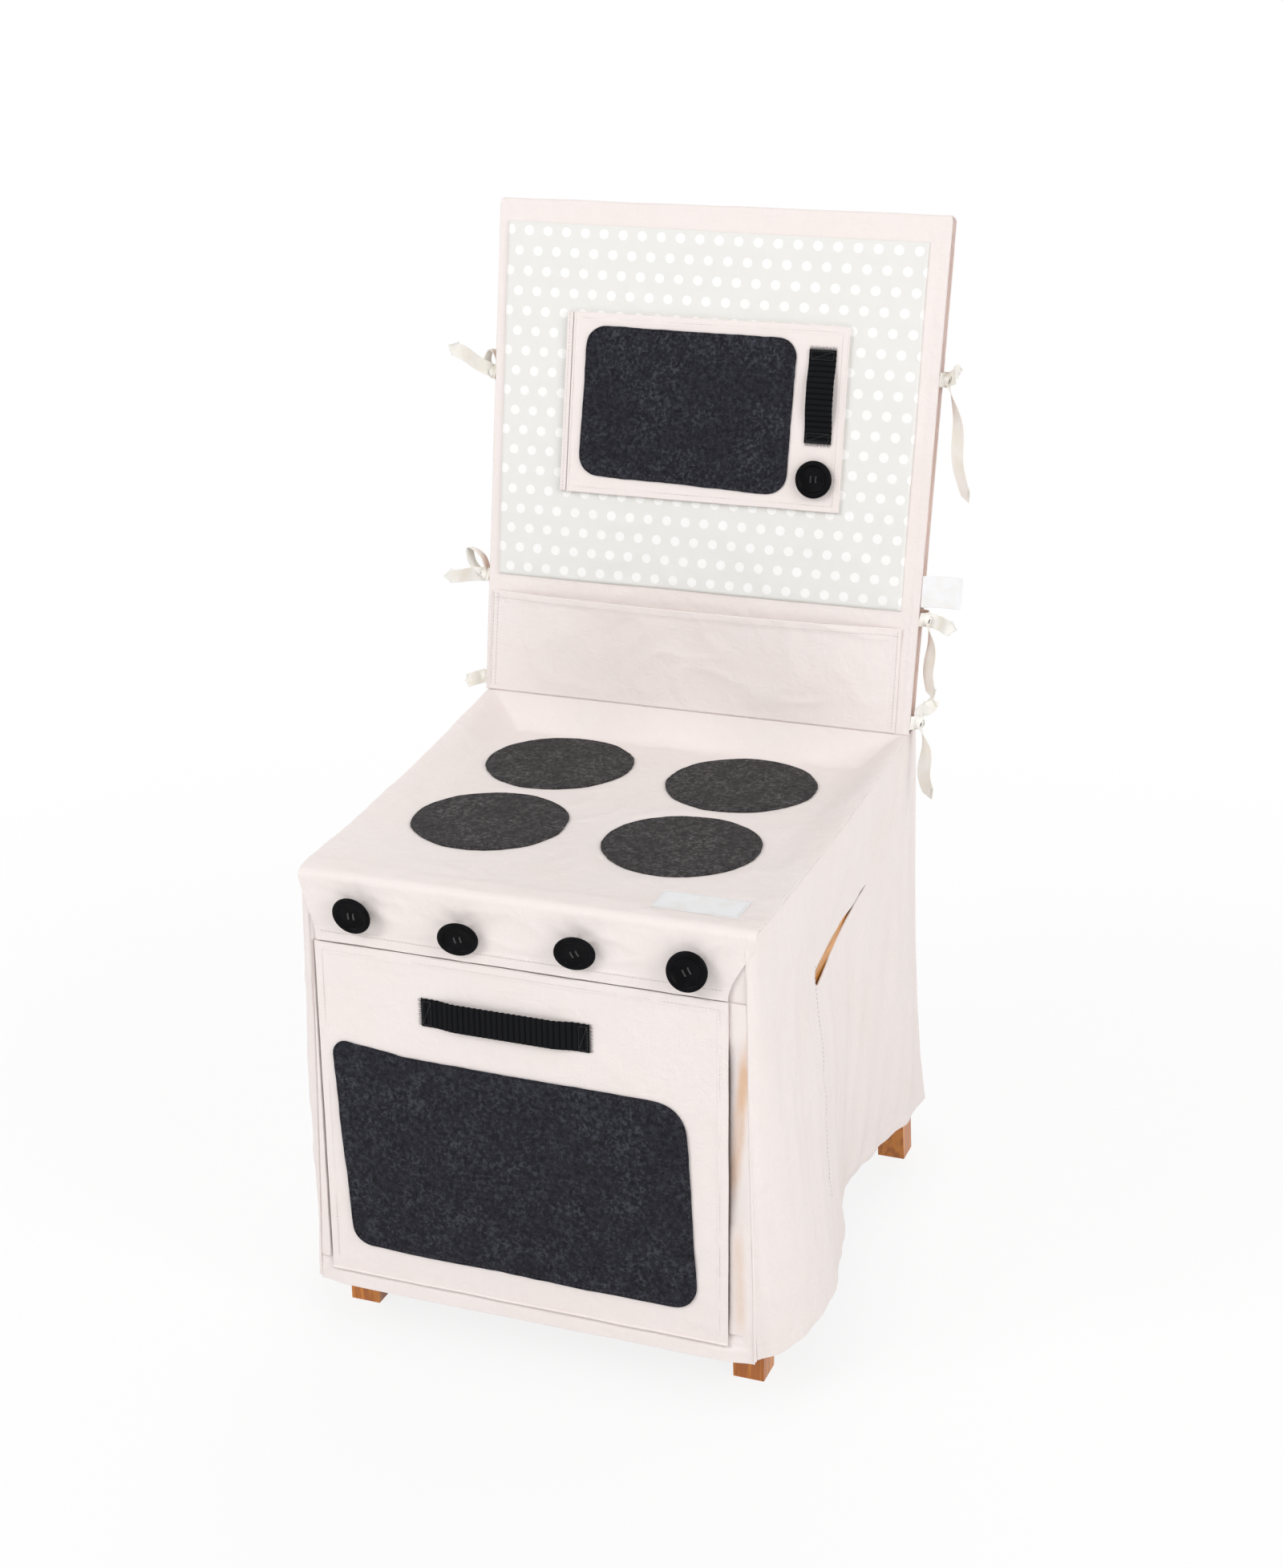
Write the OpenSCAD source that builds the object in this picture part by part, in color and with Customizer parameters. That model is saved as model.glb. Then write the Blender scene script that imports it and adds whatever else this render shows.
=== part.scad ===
// Play oven cover: a sewn cotton cover, dressed over a wooden chair.
// Millimetres. The front faces -Y, +X is the viewer's right, the floor is z = 0.

/* [Chair seat] */
// Height of the seat's top face above the floor
seat_h = 456; // [430:1:480]
// How much wider the seat board is than the front legs
seat_over = 4; // [0:1:8]
// Thickness of the seat board
seat_t = 18; // [14:1:22]
// Depth of the seat, from its front edge to the back's front face
seat_depth = 419; // [405:1:430]
// Radius of the seat's front corners
seat_corner_r = 8; // [4:1:16]
// Radius of the seat's front top edge
seat_edge_r = 6; // [4:0.5:8]
// Thickness of the rails under the seat
rail_t = 18; // [15:1:22]
// Depth of the front and rear rails
rail_h = 66; // [50:1:90]
// Depth of the side rails, which show through the slits
side_rail_h = 116; // [104:1:124]

/* [Chair legs] */
// Side of the square front leg at its top
leg_top = 38; // [34:1:42]
// Side of the square foot
foot_w = 29; // [24:1:33]
// Width across the front legs' outer faces
leg_span = 414; // [404:1:416]
// Distance from the cover's front to the middle of the front foot
foot_front = 60; // [54:1:70]
// Distance from the cover's front to the middle of the rear foot
foot_rear = 500; // [490:1:508]

/* [Chair back] */
// Lean of the back, in degrees from upright
rake = 10; // [8:0.5:12]
// How much wider the rear posts stand than the front legs
post_over = 14; // [8:1:18]
// Width of a rear post, seen from the front
post_w = 28; // [24:1:32]
// Depth of a rear post above the seat
post_d = 28; // [24:1:30]
// Depth of the top rail of the back
top_rail_h = 78; // [60:1:95]
// Thickness of the back's rails
back_rail_t = 20; // [16:1:24]
// Thickness of a back slat
slat_t = 10; // [7:1:14]
// Width of a back slat
slat_w = 46; // [36:1:56]
// Number of back slats
slat_count = 3; // [2:1:4]

/* [Cover] */
// Thickness of the cotton canvas
cloth_t = 1.6; // [1.2:0.1:2]
// Ease between a front leg and the cover, at the front of the hob
cover_ease = 4.5; // [3:0.5:7]
// How much further out each side of the cover is at its back seam than at its front
cover_flare = 8.5; // [6:0.5:10.5]
// Distance from the cover's front to the back seam
seam_y = 428; // [426:1:436]
// Rise of the hob cloth from the seat to the back seam
seam_rise = 31; // [24:1:38]
// Radius of the hob's front edge
edge_r = 8; // [5:0.5:10]
// Height of the side skirts' hem above the floor
hem_h = 49; // [40:1:56]
// Height of the front hem above the floor
front_hem_h = 46; // [40:1:54]
// Height of the back cover, along its slope
back_cover_h = 487; // [480:1:496]
// Ease between a rear post and the back cover, at the back seam
sleeve_ease = 8; // [4:1:10]
// How much further out each side of the back cover is at its top than at its seam
sleeve_flare = 6; // [4:1:10]
// How far the trims sit to the left of the chair's middle
trim_shift = 5; // [0:1:8]

/* [Hob] */
// Diameter of a felt burner
burner_d = 144; // [120:1:150]
// Thickness of the felt
felt_t = 1.8; // [1.2:0.1:3]
// Half distance between the burners of one row
burner_x = 93; // [80:1:98]
// Distance from the cover's front to the front burners' centres
burner_front_y = 159; // [120:1:164]
// Distance between the two rows of burners
burner_row_gap = 164; // [150:1:166]

/* [Fascia] */
// Height of the fascia's hem above the floor
fascia_hem_h = 392; // [380:1:398]
// How far in from the cover's side the fascia's hem ends
fascia_in_low = 19.5; // [15.5:0.5:25.5]
// How far in from the cover's side the fascia ends, just under the hob's edge
fascia_in_top = 8.5; // [7.5:0.5:11.5]

/* [Buttons] */
// Diameter of a button
button_d = 36; // [30:1:38]
// Thickness of a button at its rim
button_t = 4.6; // [3.5:0.1:6]
// Width of the button's raised rim
button_rim = 5; // [3:0.5:7]
// Diameter of one of the four thread holes
button_hole_d = 2.6; // [2:0.1:3.2]
// Distance of a thread hole from the button's middle
button_hole_r = 3.6; // [3:0.1:4.5]
// Gap between the fascia and a button's middle, along its thread shank
shank_len = 9.5; // [8:0.5:11]
// Gap between the microwave door and its button
short_shank_len = 2.5; // [2:0.5:5]
// Diameter of the wound thread shank
shank_d = 3.4; // [2.5:0.1:4]

/* [Oven door] */
// Width of the oven door
door_w = 386; // [378:1:392]
// Height of the oven door's seam above the floor
door_seam_h = 62.5; // [60:0.5:66]
// Gap between the door's top edge and the fascia's hem
door_gap = 0.8; // [0.5:0.1:2]
// Thickness of the oven door, two layers of canvas
door_t = 2.4; // [2:0.1:3]
// Radius of the rolled seam that the door turns on
seam_r = 1.6; // [1.4:0.1:2]
// Depth of the oven pocket behind the door
pocket_depth = 11; // [9:0.5:14]
// Fold depth of a side gusset at the top of the door
gusset_top = 84; // [60:1:90]
// Fold depth of a side gusset at the bottom of the door
gusset_low = 12; // [8:1:20]
// Thickness of the gusset cloth
gusset_t = 0.6; // [0.5:0.1:0.8]
// Length of the oven door's webbing handle
oven_handle_len = 159; // [120:1:180]
// Width of the webbing
webbing_w = 27; // [20:1:32]
// Thickness of the webbing without its ribs
webbing_t = 1.8; // [1.4:0.1:2.4]
// Finger gap behind a webbing handle
handle_gap = 6; // [5:0.1:8]
// Width of the hook and loop tape
tape_w = 20; // [16:1:22]
// Length of the hook and loop tape
tape_len = 190; // [120:1:200]
// Thickness of each half of the hook and loop tape
tape_t = 0.9; // [0.7:0.1:1]

/* [Backsplash] */
// Width of the dotted panel
splash_w = 422; // [400:1:430]
// Height of the dotted panel
splash_h = 345; // [335:1:350]
// Thickness of the dotted panel
splash_t = 3.4; // [2.5:0.1:5]
// Distance from the back seam to the dotted panel's lower edge
splash_low = 118; // [112:1:124]

/* [Microwave] */
// Width of the microwave
micro_w = 287; // [270:1:300]
// Height of the microwave
micro_h = 175; // [165:1:182]
// Distance from the back seam to the microwave's lower edge
micro_low = 207; // [200:1:215]
// Thickness of the microwave's base panel
micro_base_t = 2.4; // [1.8:0.1:3.5]
// Thickness of the microwave's door
micro_door_t = 2.4; // [1.8:0.1:3.5]
// Width of the strip left of the microwave's hinge
micro_strip = 9; // [7:1:14]
// Width of the microwave's window
micro_window_w = 215; // [190:1:220]
// Height of the microwave's window
micro_window_h = 147; // [120:1:152]
// Length of the microwave's webbing handle
micro_handle_len = 89; // [70:1:100]

/* [Pocket] */
// Height of the utensil pocket
utensil_h = 102; // [85:1:106]
// Half width of the utensil pocket
utensil_half = 213; // [205:1:215]
// How far the pocket's top hem bows out in the middle
utensil_bow = 14; // [10:0.5:16]

/* [Ribbons] */
// Width of the tie ribbons
ribbon_w = 14; // [10:1:18]
// Thickness of the tie ribbons
ribbon_t = 0.9; // [0.7:0.1:1.2]

/* [Fits] */
// Gap between pieces that move past each other
clearance = 0.3; // [0.2:0.05:0.5]

/* [Hidden] */

$fn = 48;
tiny = 0.01;

// Colours, as photographed
canvas_colour = "#F2E9E3";
felt_colour = "#2B2C33";
burner_colour = "#3D3B3B";
webbing_colour = "#15161A";
button_colour = "#1B1D20";
wood_colour = "#B26424";
ribbon_colour = "#EFEFEA";
dotted_colour = "#F0F0EC";
steel_colour = "#9A9CA0";

// The cover's front is this far in front of the origin, which is the box's middle
front_y = -264;

// Widths, each from the front legs' span and a named ease
seat_w = leg_span + seat_over;
post_span = leg_span + post_over;
cover_half_front = leg_span / 2 + cover_ease;
cover_half_rear = cover_half_front + cover_flare;
fascia_half_low = cover_half_front - fascia_in_low;
fascia_half_top = cover_half_front - fascia_in_top;
back_half_low = post_span / 2 + sleeve_ease;
back_half_top = back_half_low + sleeve_flare;

// Chair: levels and places
rail_top = seat_h - seat_t;
post_x = post_span / 2 - post_w;
leg_x = leg_span / 2 - leg_top;
leg_front = foot_front - leg_top / 2 + 2;
rail_front_y = leg_front + 6;
seat_front_y = edge_r - cloth_t - 1.4;
back_z = seat_h + cloth_t + seam_rise;
post_front = cloth_t;
post_back = post_front + post_d;
rear_leg_front = seam_y - 4;
rear_leg_back = seam_y + 36;
rear_rail_y = rear_leg_front + 12;

// Cover: levels and places
hob_z = seat_h + cloth_t;
rear_cover_gap = post_back + 1;
cover_depth = rear_cover_gap + cloth_t;
rear_cover_low = 6;
rear_hem_y = foot_rear + 36;

// Oven: levels and places. The door hangs between y = door_front and door_back
door_front = -1.4;
door_back = door_front + door_t;
door_axis_y = door_front - 0.5;
door_top = fascia_hem_h - door_gap;
door_h = door_top - door_seam_h;
door_mid_x = -trim_shift;
skirt_top_y = door_back + 2 * tape_t + clearance;

//------------------------------------------------------------------ helpers

function lerp(a, b, t) = a + (b - a) * t;
function clamp01(t) = min(max(t, 0), 1);
function smooth(t) = let (c = clamp01(t)) c * c * (3 - 2 * c);
function unit(v) = v / norm(v);

// A point on the smooth curve through list p, at t from 0 to 1
function curve_point(p, t) =
    let (n = len(p) - 1, s = clamp01(t) * n, i = min(floor(s), n - 1), f = s - i,
         a = p[max(i - 1, 0)], b = p[i], c = p[i + 1], d = p[min(i + 2, n)])
    0.5 * (2 * b + (c - a) * f + (2 * a - 5 * b + 4 * c - d) * f * f
           + (3 * b - a - 3 * c + d) * f * f * f);

// Points of a rounded corner at p, between its neighbours a and b
function corner_arc(a, p, b, r, steps = 7) =
    let (u = unit(a - p), v = unit(b - p), half = acos(u * v) / 2,
         centre = p + unit(u + v) * r / sin(half),
         from = p + u * r / tan(half) - centre, to = p + v * r / tan(half) - centre,
         turn = atan2(from[0] * to[1] - from[1] * to[0], from * to),
         start = atan2(from[1], from[0]))
    [for (i = [0:steps]) centre + r * [cos(start + turn * i / steps),
                                       sin(start + turn * i / steps)]];

// Outline with every corner rounded to radius r
function rounded(corners, r) =
    let (n = len(corners))
    [for (i = [0:n - 1])
        each corner_arc(corners[(i + n - 1) % n], corners[i], corners[(i + 1) % n], r)];

// Rectangle of size w by h about [x, y], with corner radius r
function rounded_box(x, y, w, h, r) =
    rounded([[x - w / 2, y - h / 2], [x + w / 2, y - h / 2],
             [x + w / 2, y + h / 2], [x - w / 2, y + h / 2]], r);

// Normal of a path in the plane at point i
function path_normal(p, i) =
    let (d = unit(p[min(i + 1, len(p) - 1)] - p[max(i - 1, 0)])) [-d[1], d[0]];

// Band of thickness t along a path in the plane, to the left of its direction
function band(p, t) =
    concat(p, [for (i = [len(p) - 1:-1:0]) p[i] + t * path_normal(p, i)]);

// Points of a smooth curve through list p
function curve(p, steps) = [for (i = [0:steps]) curve_point(p, i / steps)];

// Normal of a grid of points at row i and column j
function grid_normal(g, i, j) =
    let (du = g[min(i + 1, len(g) - 1)][j] - g[max(i - 1, 0)][j],
         dv = g[i][min(j + 1, len(g[0]) - 1)] - g[i][max(j - 1, 0)])
    unit(cross(du, dv));

// Closed sheet of cloth: the grid is its outer face, and t its thickness inwards
module cloth(g, t) {
    rows = len(g);
    cols = len(g[0]);
    n = rows * cols;
    outer = [for (i = [0:rows - 1]) for (j = [0:cols - 1]) g[i][j]];
    inner = [for (i = [0:rows - 1]) for (j = [0:cols - 1]) g[i][j] - t * grid_normal(g, i, j)];
    function id(i, j) = i * cols + j;
    faces = [
        for (i = [0:rows - 2]) for (j = [0:cols - 2]) each [
            [id(i, j), id(i, j + 1), id(i + 1, j + 1)],
            [id(i, j), id(i + 1, j + 1), id(i + 1, j)],
            [n + id(i, j), n + id(i + 1, j + 1), n + id(i, j + 1)],
            [n + id(i, j), n + id(i + 1, j), n + id(i + 1, j + 1)]],
        for (i = [0:rows - 2]) each [
            [id(i, 0), id(i + 1, 0), n + id(i + 1, 0)],
            [id(i, 0), n + id(i + 1, 0), n + id(i, 0)],
            [id(i, cols - 1), n + id(i + 1, cols - 1), id(i + 1, cols - 1)],
            [id(i, cols - 1), n + id(i, cols - 1), n + id(i + 1, cols - 1)]],
        for (j = [0:cols - 2]) each [
            [id(0, j), n + id(0, j + 1), id(0, j + 1)],
            [id(0, j), n + id(0, j), n + id(0, j + 1)],
            [id(rows - 1, j), id(rows - 1, j + 1), n + id(rows - 1, j + 1)],
            [id(rows - 1, j), n + id(rows - 1, j + 1), n + id(rows - 1, j)]]];
    polyhedron(concat(outer, inner), faces, convexity = 6);
}

// Places a piece in the cover's frame, whose y = 0 is the cover's front
module placed() translate([0, front_y, 0]) children();

// Frame of the raked back: x right, y to the rear, z up along the slope from the seam
module on_back() placed() translate([0, seam_y, back_z]) rotate([-rake, 0, 0]) children();

// Extrudes a profile drawn in y and z along x, from x0 to x1
module along_x(x0, x1) translate([x0, 0, 0]) rotate([90, 0, 90]) linear_extrude(x1 - x0) children();

// Extrudes an outline drawn in x and z, from y0 to y1
module along_y(y0, y1) translate([0, y1, 0]) rotate([90, 0, 0]) linear_extrude(y1 - y0) children();

// Mirrors its children to the left when side is -1
module on_side(side) mirror([side < 0 ? 1 : 0, 0, 0]) children();

//-------------------------------------------------------------------- chair

tenon_len = 14;
tenon_t = 8;
shoulder = 8;
tenon_fit = 0.1;
screw_d = 4.5;
screw_len = 40;
screw_head_d = 9;
block_h = 30;
side_rail_x = leg_span / 2 - rail_t - 3;
side_rail_low = rail_top - side_rail_h;
front_rail_low = rail_top - rail_h;
block_low = rail_top - block_h;

// Box of a tenon, grown on every side where it cuts a mortise
module tenon(at, size, grow)
    translate([for (c = at) c - grow]) cube([for (c = size) c + 2 * grow]);

// Tenons of the right ends of the rails
module front_tenon(grow = 0)
    tenon([leg_x, rail_front_y + (rail_t - tenon_t) / 2, front_rail_low + shoulder],
          [tenon_len, tenon_t, rail_h - 2 * shoulder], grow);
module rear_tenon(grow = 0)
    tenon([post_x, rear_rail_y + (rail_t - tenon_t) / 2, front_rail_low + shoulder],
          [tenon_len, tenon_t, rail_h - 2 * shoulder], grow);
module side_front_tenon(grow = 0)
    tenon([side_rail_x + (rail_t - tenon_t) / 2, leg_front + leg_top - tenon_len, side_rail_low + shoulder],
          [tenon_t, tenon_len, side_rail_h - rail_h - shoulder], grow);
module side_rear_tenon(grow = 0)
    tenon([side_rail_x + (rail_t - tenon_t) / 2, rear_leg_front, side_rail_low + shoulder],
          [tenon_t, tenon_len, side_rail_h - rail_h - shoulder], grow);

// Seat board, notched round the rear posts
module seat_board() color(wood_colour) placed() {
    half = seat_w / 2;
    rear = seat_front_y + seat_depth + 24;
    notch = post_x - 1;
    step = rear_leg_front - 1;
    difference() {
        translate([0, 0, rail_top]) linear_extrude(seat_t) polygon(concat(
            corner_arc([-half, step], [-half, seat_front_y], [half, seat_front_y], seat_corner_r),
            corner_arc([-half, seat_front_y], [half, seat_front_y], [half, step], seat_corner_r),
            [[half, step], [notch, step], [notch, rear], [-notch, rear], [-notch, step], [-half, step]]));
        along_x(-half - 1, half + 1) difference() {
            translate([seat_front_y - 1, seat_h - seat_edge_r]) square(seat_edge_r + 1);
            translate([seat_front_y + seat_edge_r, seat_h - seat_edge_r]) circle(seat_edge_r);
        }
        for (side = [-1, 1]) on_side(side) seat_screw_pair(tenon_fit);
    }
}

// Front leg, tapered below the side rail, with its two mortises
module front_leg(side) color(wood_colour) placed() on_side(side) {
    outer = leg_span / 2;
    rear = leg_front + leg_top;
    difference() {
        intersection() {
            along_y(leg_front - foot_w, rear + foot_w)
                polygon([[outer - 1 - foot_w, 0], [outer - 1, 0], [outer, side_rail_low],
                         [outer, rail_top], [leg_x, rail_top], [leg_x, side_rail_low]]);
            along_x(leg_x - 1, outer + 1)
                polygon([[foot_front - foot_w / 2, 0], [foot_front + foot_w / 2, 0],
                         [rear, side_rail_low], [rear, rail_top],
                         [leg_front, rail_top], [leg_front, side_rail_low]]);
        }
        front_tenon(tenon_fit);
        side_front_tenon(tenon_fit);
    }
}

module front_leg_left() front_leg(-1);
module front_leg_right() front_leg(1);

// Point of the raked back in y and z, at depth d and height s along the slope
function raked(d, s) =
    [seam_y + d * cos(rake) + s * sin(rake), back_z - d * sin(rake) + s * cos(rake)];

// Rear leg and back post in one piece: splayed below, raked above
module rear_post(side) color(wood_colour) placed() on_side(side) {
    top = back_cover_h;
    difference() {
        along_x(post_x, post_x + post_w)
            polygon([[foot_rear - foot_w / 2, 0], [foot_rear + foot_w / 2, 0],
                     [rear_leg_back, side_rail_low - 12], [rear_leg_back, rail_top + 2],
                     raked(post_back, 8), raked(post_back - 4, top),
                     raked(post_front + 2, top), raked(post_front, top - 4), raked(post_front, -34),
                     [rear_leg_front, rail_top], [rear_leg_front, side_rail_low - 12]]);
        rear_tenon(tenon_fit);
        side_rear_tenon(tenon_fit);
    }
}

module rear_post_left() rear_post(-1);
module rear_post_right() rear_post(1);

module front_rail() color(wood_colour) placed() {
    translate([-leg_x, rail_front_y, front_rail_low]) cube([2 * leg_x, rail_t, rail_h]);
    for (side = [-1, 1]) on_side(side) front_tenon();
}

module rear_rail() color(wood_colour) placed() {
    translate([-post_x, rear_rail_y, front_rail_low]) cube([2 * post_x, rail_t, rail_h]);
    for (side = [-1, 1]) on_side(side) rear_tenon();
}

module side_rail(side) color(wood_colour) placed() on_side(side) {
    front = leg_front + leg_top;
    translate([side_rail_x, front, side_rail_low]) cube([rail_t, rear_leg_front - front, side_rail_h]);
    side_front_tenon();
    side_rear_tenon();
}

module side_rail_left() side_rail(-1);
module side_rail_right() side_rail(1);

// Outlines of the right front and right rear corner blocks
function front_block() =
    let (y = rail_front_y + rail_t, rear = leg_front + leg_top)
    [[leg_x - 52, y], [leg_x, y], [leg_x, rear], [side_rail_x, rear], [side_rail_x, rear + 52]];
function rear_block() =
    [[post_x - 66, rear_rail_y], [post_x, rear_rail_y], [side_rail_x, rear_leg_front],
     [side_rail_x, rear_leg_front - 52]];
function block_screw(outline) = (outline[0] + outline[len(outline) - 1]) / 2 + [10, -4];
function front_screw() = block_screw(front_block()) + [0, -4];
function rear_screw() = block_screw(rear_block()) + [4, 12];

module corner_blocks() color(wood_colour) placed() for (side = [-1, 1]) on_side(side) difference() {
    translate([0, 0, block_low]) linear_extrude(block_h) {
        polygon(front_block());
        polygon(rear_block());
    }
    seat_screw_pair(tenon_fit);
}

// The two countersunk screws of the right side, through the blocks into the seat
module seat_screw_pair(grow = 0) for (p = [front_screw(), rear_screw()]) translate([p[0], p[1], block_low]) {
    cylinder(h = screw_len + grow, d = screw_d + 2 * grow);
    translate([0, 0, -grow]) cylinder(h = 4 + grow, d1 = screw_head_d + 2 * grow, d2 = screw_d + 2 * grow);
}

module seat_screws() color(steel_colour) placed() for (side = [-1, 1]) on_side(side) difference() {
    seat_screw_pair();
    for (p = [front_screw(), rear_screw()]) translate([p[0], p[1], block_low - tiny]) {
        translate([-3, -0.5, 0]) cube([6, 1, 1.5]);
        translate([-0.5, -3, 0]) cube([1, 6, 1.5]);
    }
}

back_rail_front = post_front + 4;

module top_rail() color(wood_colour) on_back()
    translate([-post_x, back_rail_front, back_cover_h - 8 - top_rail_h])
        cube([2 * post_x, back_rail_t, top_rail_h]);

low_rail_z = 92;
low_rail_h = 44;

module lower_back_rail() color(wood_colour) on_back()
    translate([-post_x, back_rail_front, low_rail_z]) cube([2 * post_x, back_rail_t, low_rail_h]);

module back_slats() color(wood_colour) on_back() {
    low = low_rail_z + low_rail_h;
    high = back_cover_h - 8 - top_rail_h;
    gap = (2 * post_x - slat_count * slat_w) / (slat_count + 1);
    for (i = [0:slat_count - 1])
        translate([-post_x + gap + i * (slat_w + gap), back_rail_front + (back_rail_t - slat_t) / 2, low])
            cube([slat_w, slat_t, high - low]);
}

//-------------------------------------------------------------- cover: cloth

flat_end = seam_y - 32;
burner_reach = burner_x + burner_d / 2 + trim_shift + 3;

function half_at(y) = lerp(cover_half_front, cover_half_rear, clamp01(y / seam_y));
function back_rise(y) = seam_rise * pow(clamp01((y - flat_end) / (seam_y - flat_end)), 2);
function side_rise(y) = seam_rise * pow(clamp01(y / seam_y), 1.7);
function hob_height(x, y) =
    let (edge = smooth((abs(x) - burner_reach) / (half_at(y) - burner_reach)))
    hob_z + max(back_rise(y), edge * side_rise(y));

// Place across of column k of the hob cloth: flat under the burners, then finer to its edge
function column_x(k, y) =
    sign(k) * (abs(k) <= 3 ? burner_reach * abs(k) / 3 : lerp(burner_reach, half_at(y), (abs(k) - 3) / 6));

// The hob cloth lies flat on the seat and sweeps up to the back seam and its two ties
module hob_panel() color(canvas_colour) placed() {
    ys = concat([for (i = [0:6]) lerp(edge_r + 0.1, flat_end, i / 6)],
                [for (i = [1:6]) lerp(flat_end, seam_y, i / 6)]);
    right = [for (k = [1:9]) k];
    columns = concat([for (k = [8:-1:0]) -right[k]], [0], right);
    cloth([for (k = columns) [for (y = ys) let (x = column_x(k, y)) [x, y, hob_height(x, y)]]], cloth_t);
}

// Front strip: rolls over the seat's edge and ends in a folded hem
module control_fascia() color(canvas_colour) placed() {
    edge = [for (a = [0:10:90]) [edge_r - edge_r * cos(a), hob_z - edge_r + edge_r * sin(a)]];
    hem_fold = 12;
    intersection() {
        union() {
            along_x(-cover_half_front, cover_half_front)
                polygon(band(concat([[0, fascia_hem_h]], edge), -cloth_t));
            translate([-cover_half_front, -cloth_t / 2, fascia_hem_h])
                cube([2 * cover_half_front, cloth_t, hem_fold]);
        }
        along_y(-edge_r, edge_r + 1)
            polygon([[-fascia_half_low - trim_shift, fascia_hem_h - 1],
                     [fascia_half_low - trim_shift, fascia_hem_h - 1],
                     [fascia_half_top, hob_z - edge_r - 1], [cover_half_front, hob_z - edge_r],
                     [cover_half_front, hob_z + 1], [-cover_half_front, hob_z + 1],
                     [-cover_half_front, hob_z - edge_r], [-fascia_half_top, hob_z - edge_r - 1]]);
    }
}

// Outer face of the pocket's back, as [height above the door's seam, y]
pocket_back = door_back + pocket_depth;
pocket_line = [[front_hem_h - door_seam_h, -2.8], [-5, -1.6], [-3, -0.6], [-1, 1.35], [2, 1.5],
               [7.5, 3.6], [17, 7], [32, pocket_back - 1.6], [50, pocket_back],
               [door_h - 67, pocket_back], [door_h - 56, pocket_back - 0.8],
               [door_h - 46, pocket_back - 3.4], [door_h - 36, 5.4], [door_h - 26, skirt_top_y],
               [door_h + 8, skirt_top_y], [door_h + 38, cloth_t], [door_h + 46, cloth_t]];
seam_flare = 10;
function pocket_back_y(z) = lookup(z - door_seam_h, pocket_line);
function corner_seam_y(z) =
    lerp(lerp(1.2, 3.2, smooth((z - hem_h - 11) / 60)), cloth_t + 0.1,
         smooth((z - fascia_hem_h - 8) / 30));
function front_skirt_half(z) = corner_seam_x(z) - 1.4;
function front_skirt_y(x, z) =
    let (u = abs(x) / front_skirt_half(z))
    lerp(pocket_back_y(z), corner_seam_y(z), smooth((u - 0.87) / 0.13));
function corner_seam_x(z) =
    let (t = clamp01((hob_z - z) / (hob_z - hem_h))) fascia_half_top + seam_flare * pow(t, 1.35);

// Backing panel: hangs from the fascia, backs the oven's pocket and carries the door's seam
module front_skirt() color(canvas_colour) placed() {
    zs = concat([for (i = [0:8]) door_seam_h + pocket_line[i][0]],
                [for (t = [0.3, 0.45, 0.6, 0.72]) door_seam_h + t * door_h],
                [for (i = [9:16]) door_seam_h + pocket_line[i][0]]);
    xs = [-1, -0.97, -0.94, -0.91, -0.87, -0.5, 0, 0.5, 0.87, 0.91, 0.94, 0.97, 1];
    cloth([for (u = xs) [for (z = zs)
        let (x = u * front_skirt_half(z)) [x, front_skirt_y(x, z), z]]], cloth_t);
}

// Outer face of the rear skirt, as [share of its height, share of its splay]
rear_line = [[0, 1], [0.134, 0.693], [0.287, 0.453], [0.457, 0.28], [0.639, 0.16], [0.798, 0.107],
             [0.889, 0.08], [0.958, 0.033], [1, 0]];
rear_top_y = seam_y + 33;
function rear_skirt_y(z) =
    lerp(rear_top_y, rear_hem_y, lookup((z - hem_h) / (back_z - hem_h), rear_line));

// Side skirt, from the front seam to the rear seam, as [how far in from the hob's edge, share of
// the depth] along its top, and as [how far out from the cover's front width, share] along its hem
side_top_in = [[8.5, 0], [3, 0.004], [0.2, 0.018], [0.3, 0.08], [0.9, 0.2], [1.3, 0.36], [1.3, 0.52],
               [1.1, 0.66], [0.9, 0.8], [1, 0.92], [0.5, 1]];
side_top_plan = [for (p = side_top_in)
    [lerp(cover_half_front, cover_half_rear, clamp01(p[1] / 0.92)) - p[0], p[1]]];
side_hem_out = [[1.5, 0.006], [16.5, 0.045], [28.5, 0.11], [32.5, 0.2], [27.5, 0.3], [13.5, 0.42],
                [-5.5, 0.54], [-14.5, 0.64], [-7.5, 0.76], [5.5, 0.88], [10.5, 1]];
side_hem_plan = [for (p = side_hem_out) [cover_half_front + p[0], p[1]]];

side_seam_gap = 1.2;
function side_top_z(y) =
    y < edge_r ? lerp(hob_z - edge_r - 0.5, hob_z - cloth_t - side_seam_gap, clamp01(y / edge_r))
               : hob_z - cloth_t - side_seam_gap + side_rise(y);

function side_point(u, t) =
    let (k = pow(t, 1.35), top = curve_point(side_top_plan, u), low = curve_point(side_hem_plan, u),
         top_y = lerp(0.4, rear_skirt_y(hob_z), top[1]),
         z = lerp(side_top_z(top_y), hem_h, t), plan = lerp(top, low, k))
    [plan[0], lerp(0.4, rear_skirt_y(z) - cloth_t - 0.3, plan[1]), z];

// Slant slit in the side skirt, in y and z
slit_low = [177, seat_h - 119];
slit_high = [325, seat_h - 83];
slit_w = 10;
slit_tip_w = 1.6;

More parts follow.
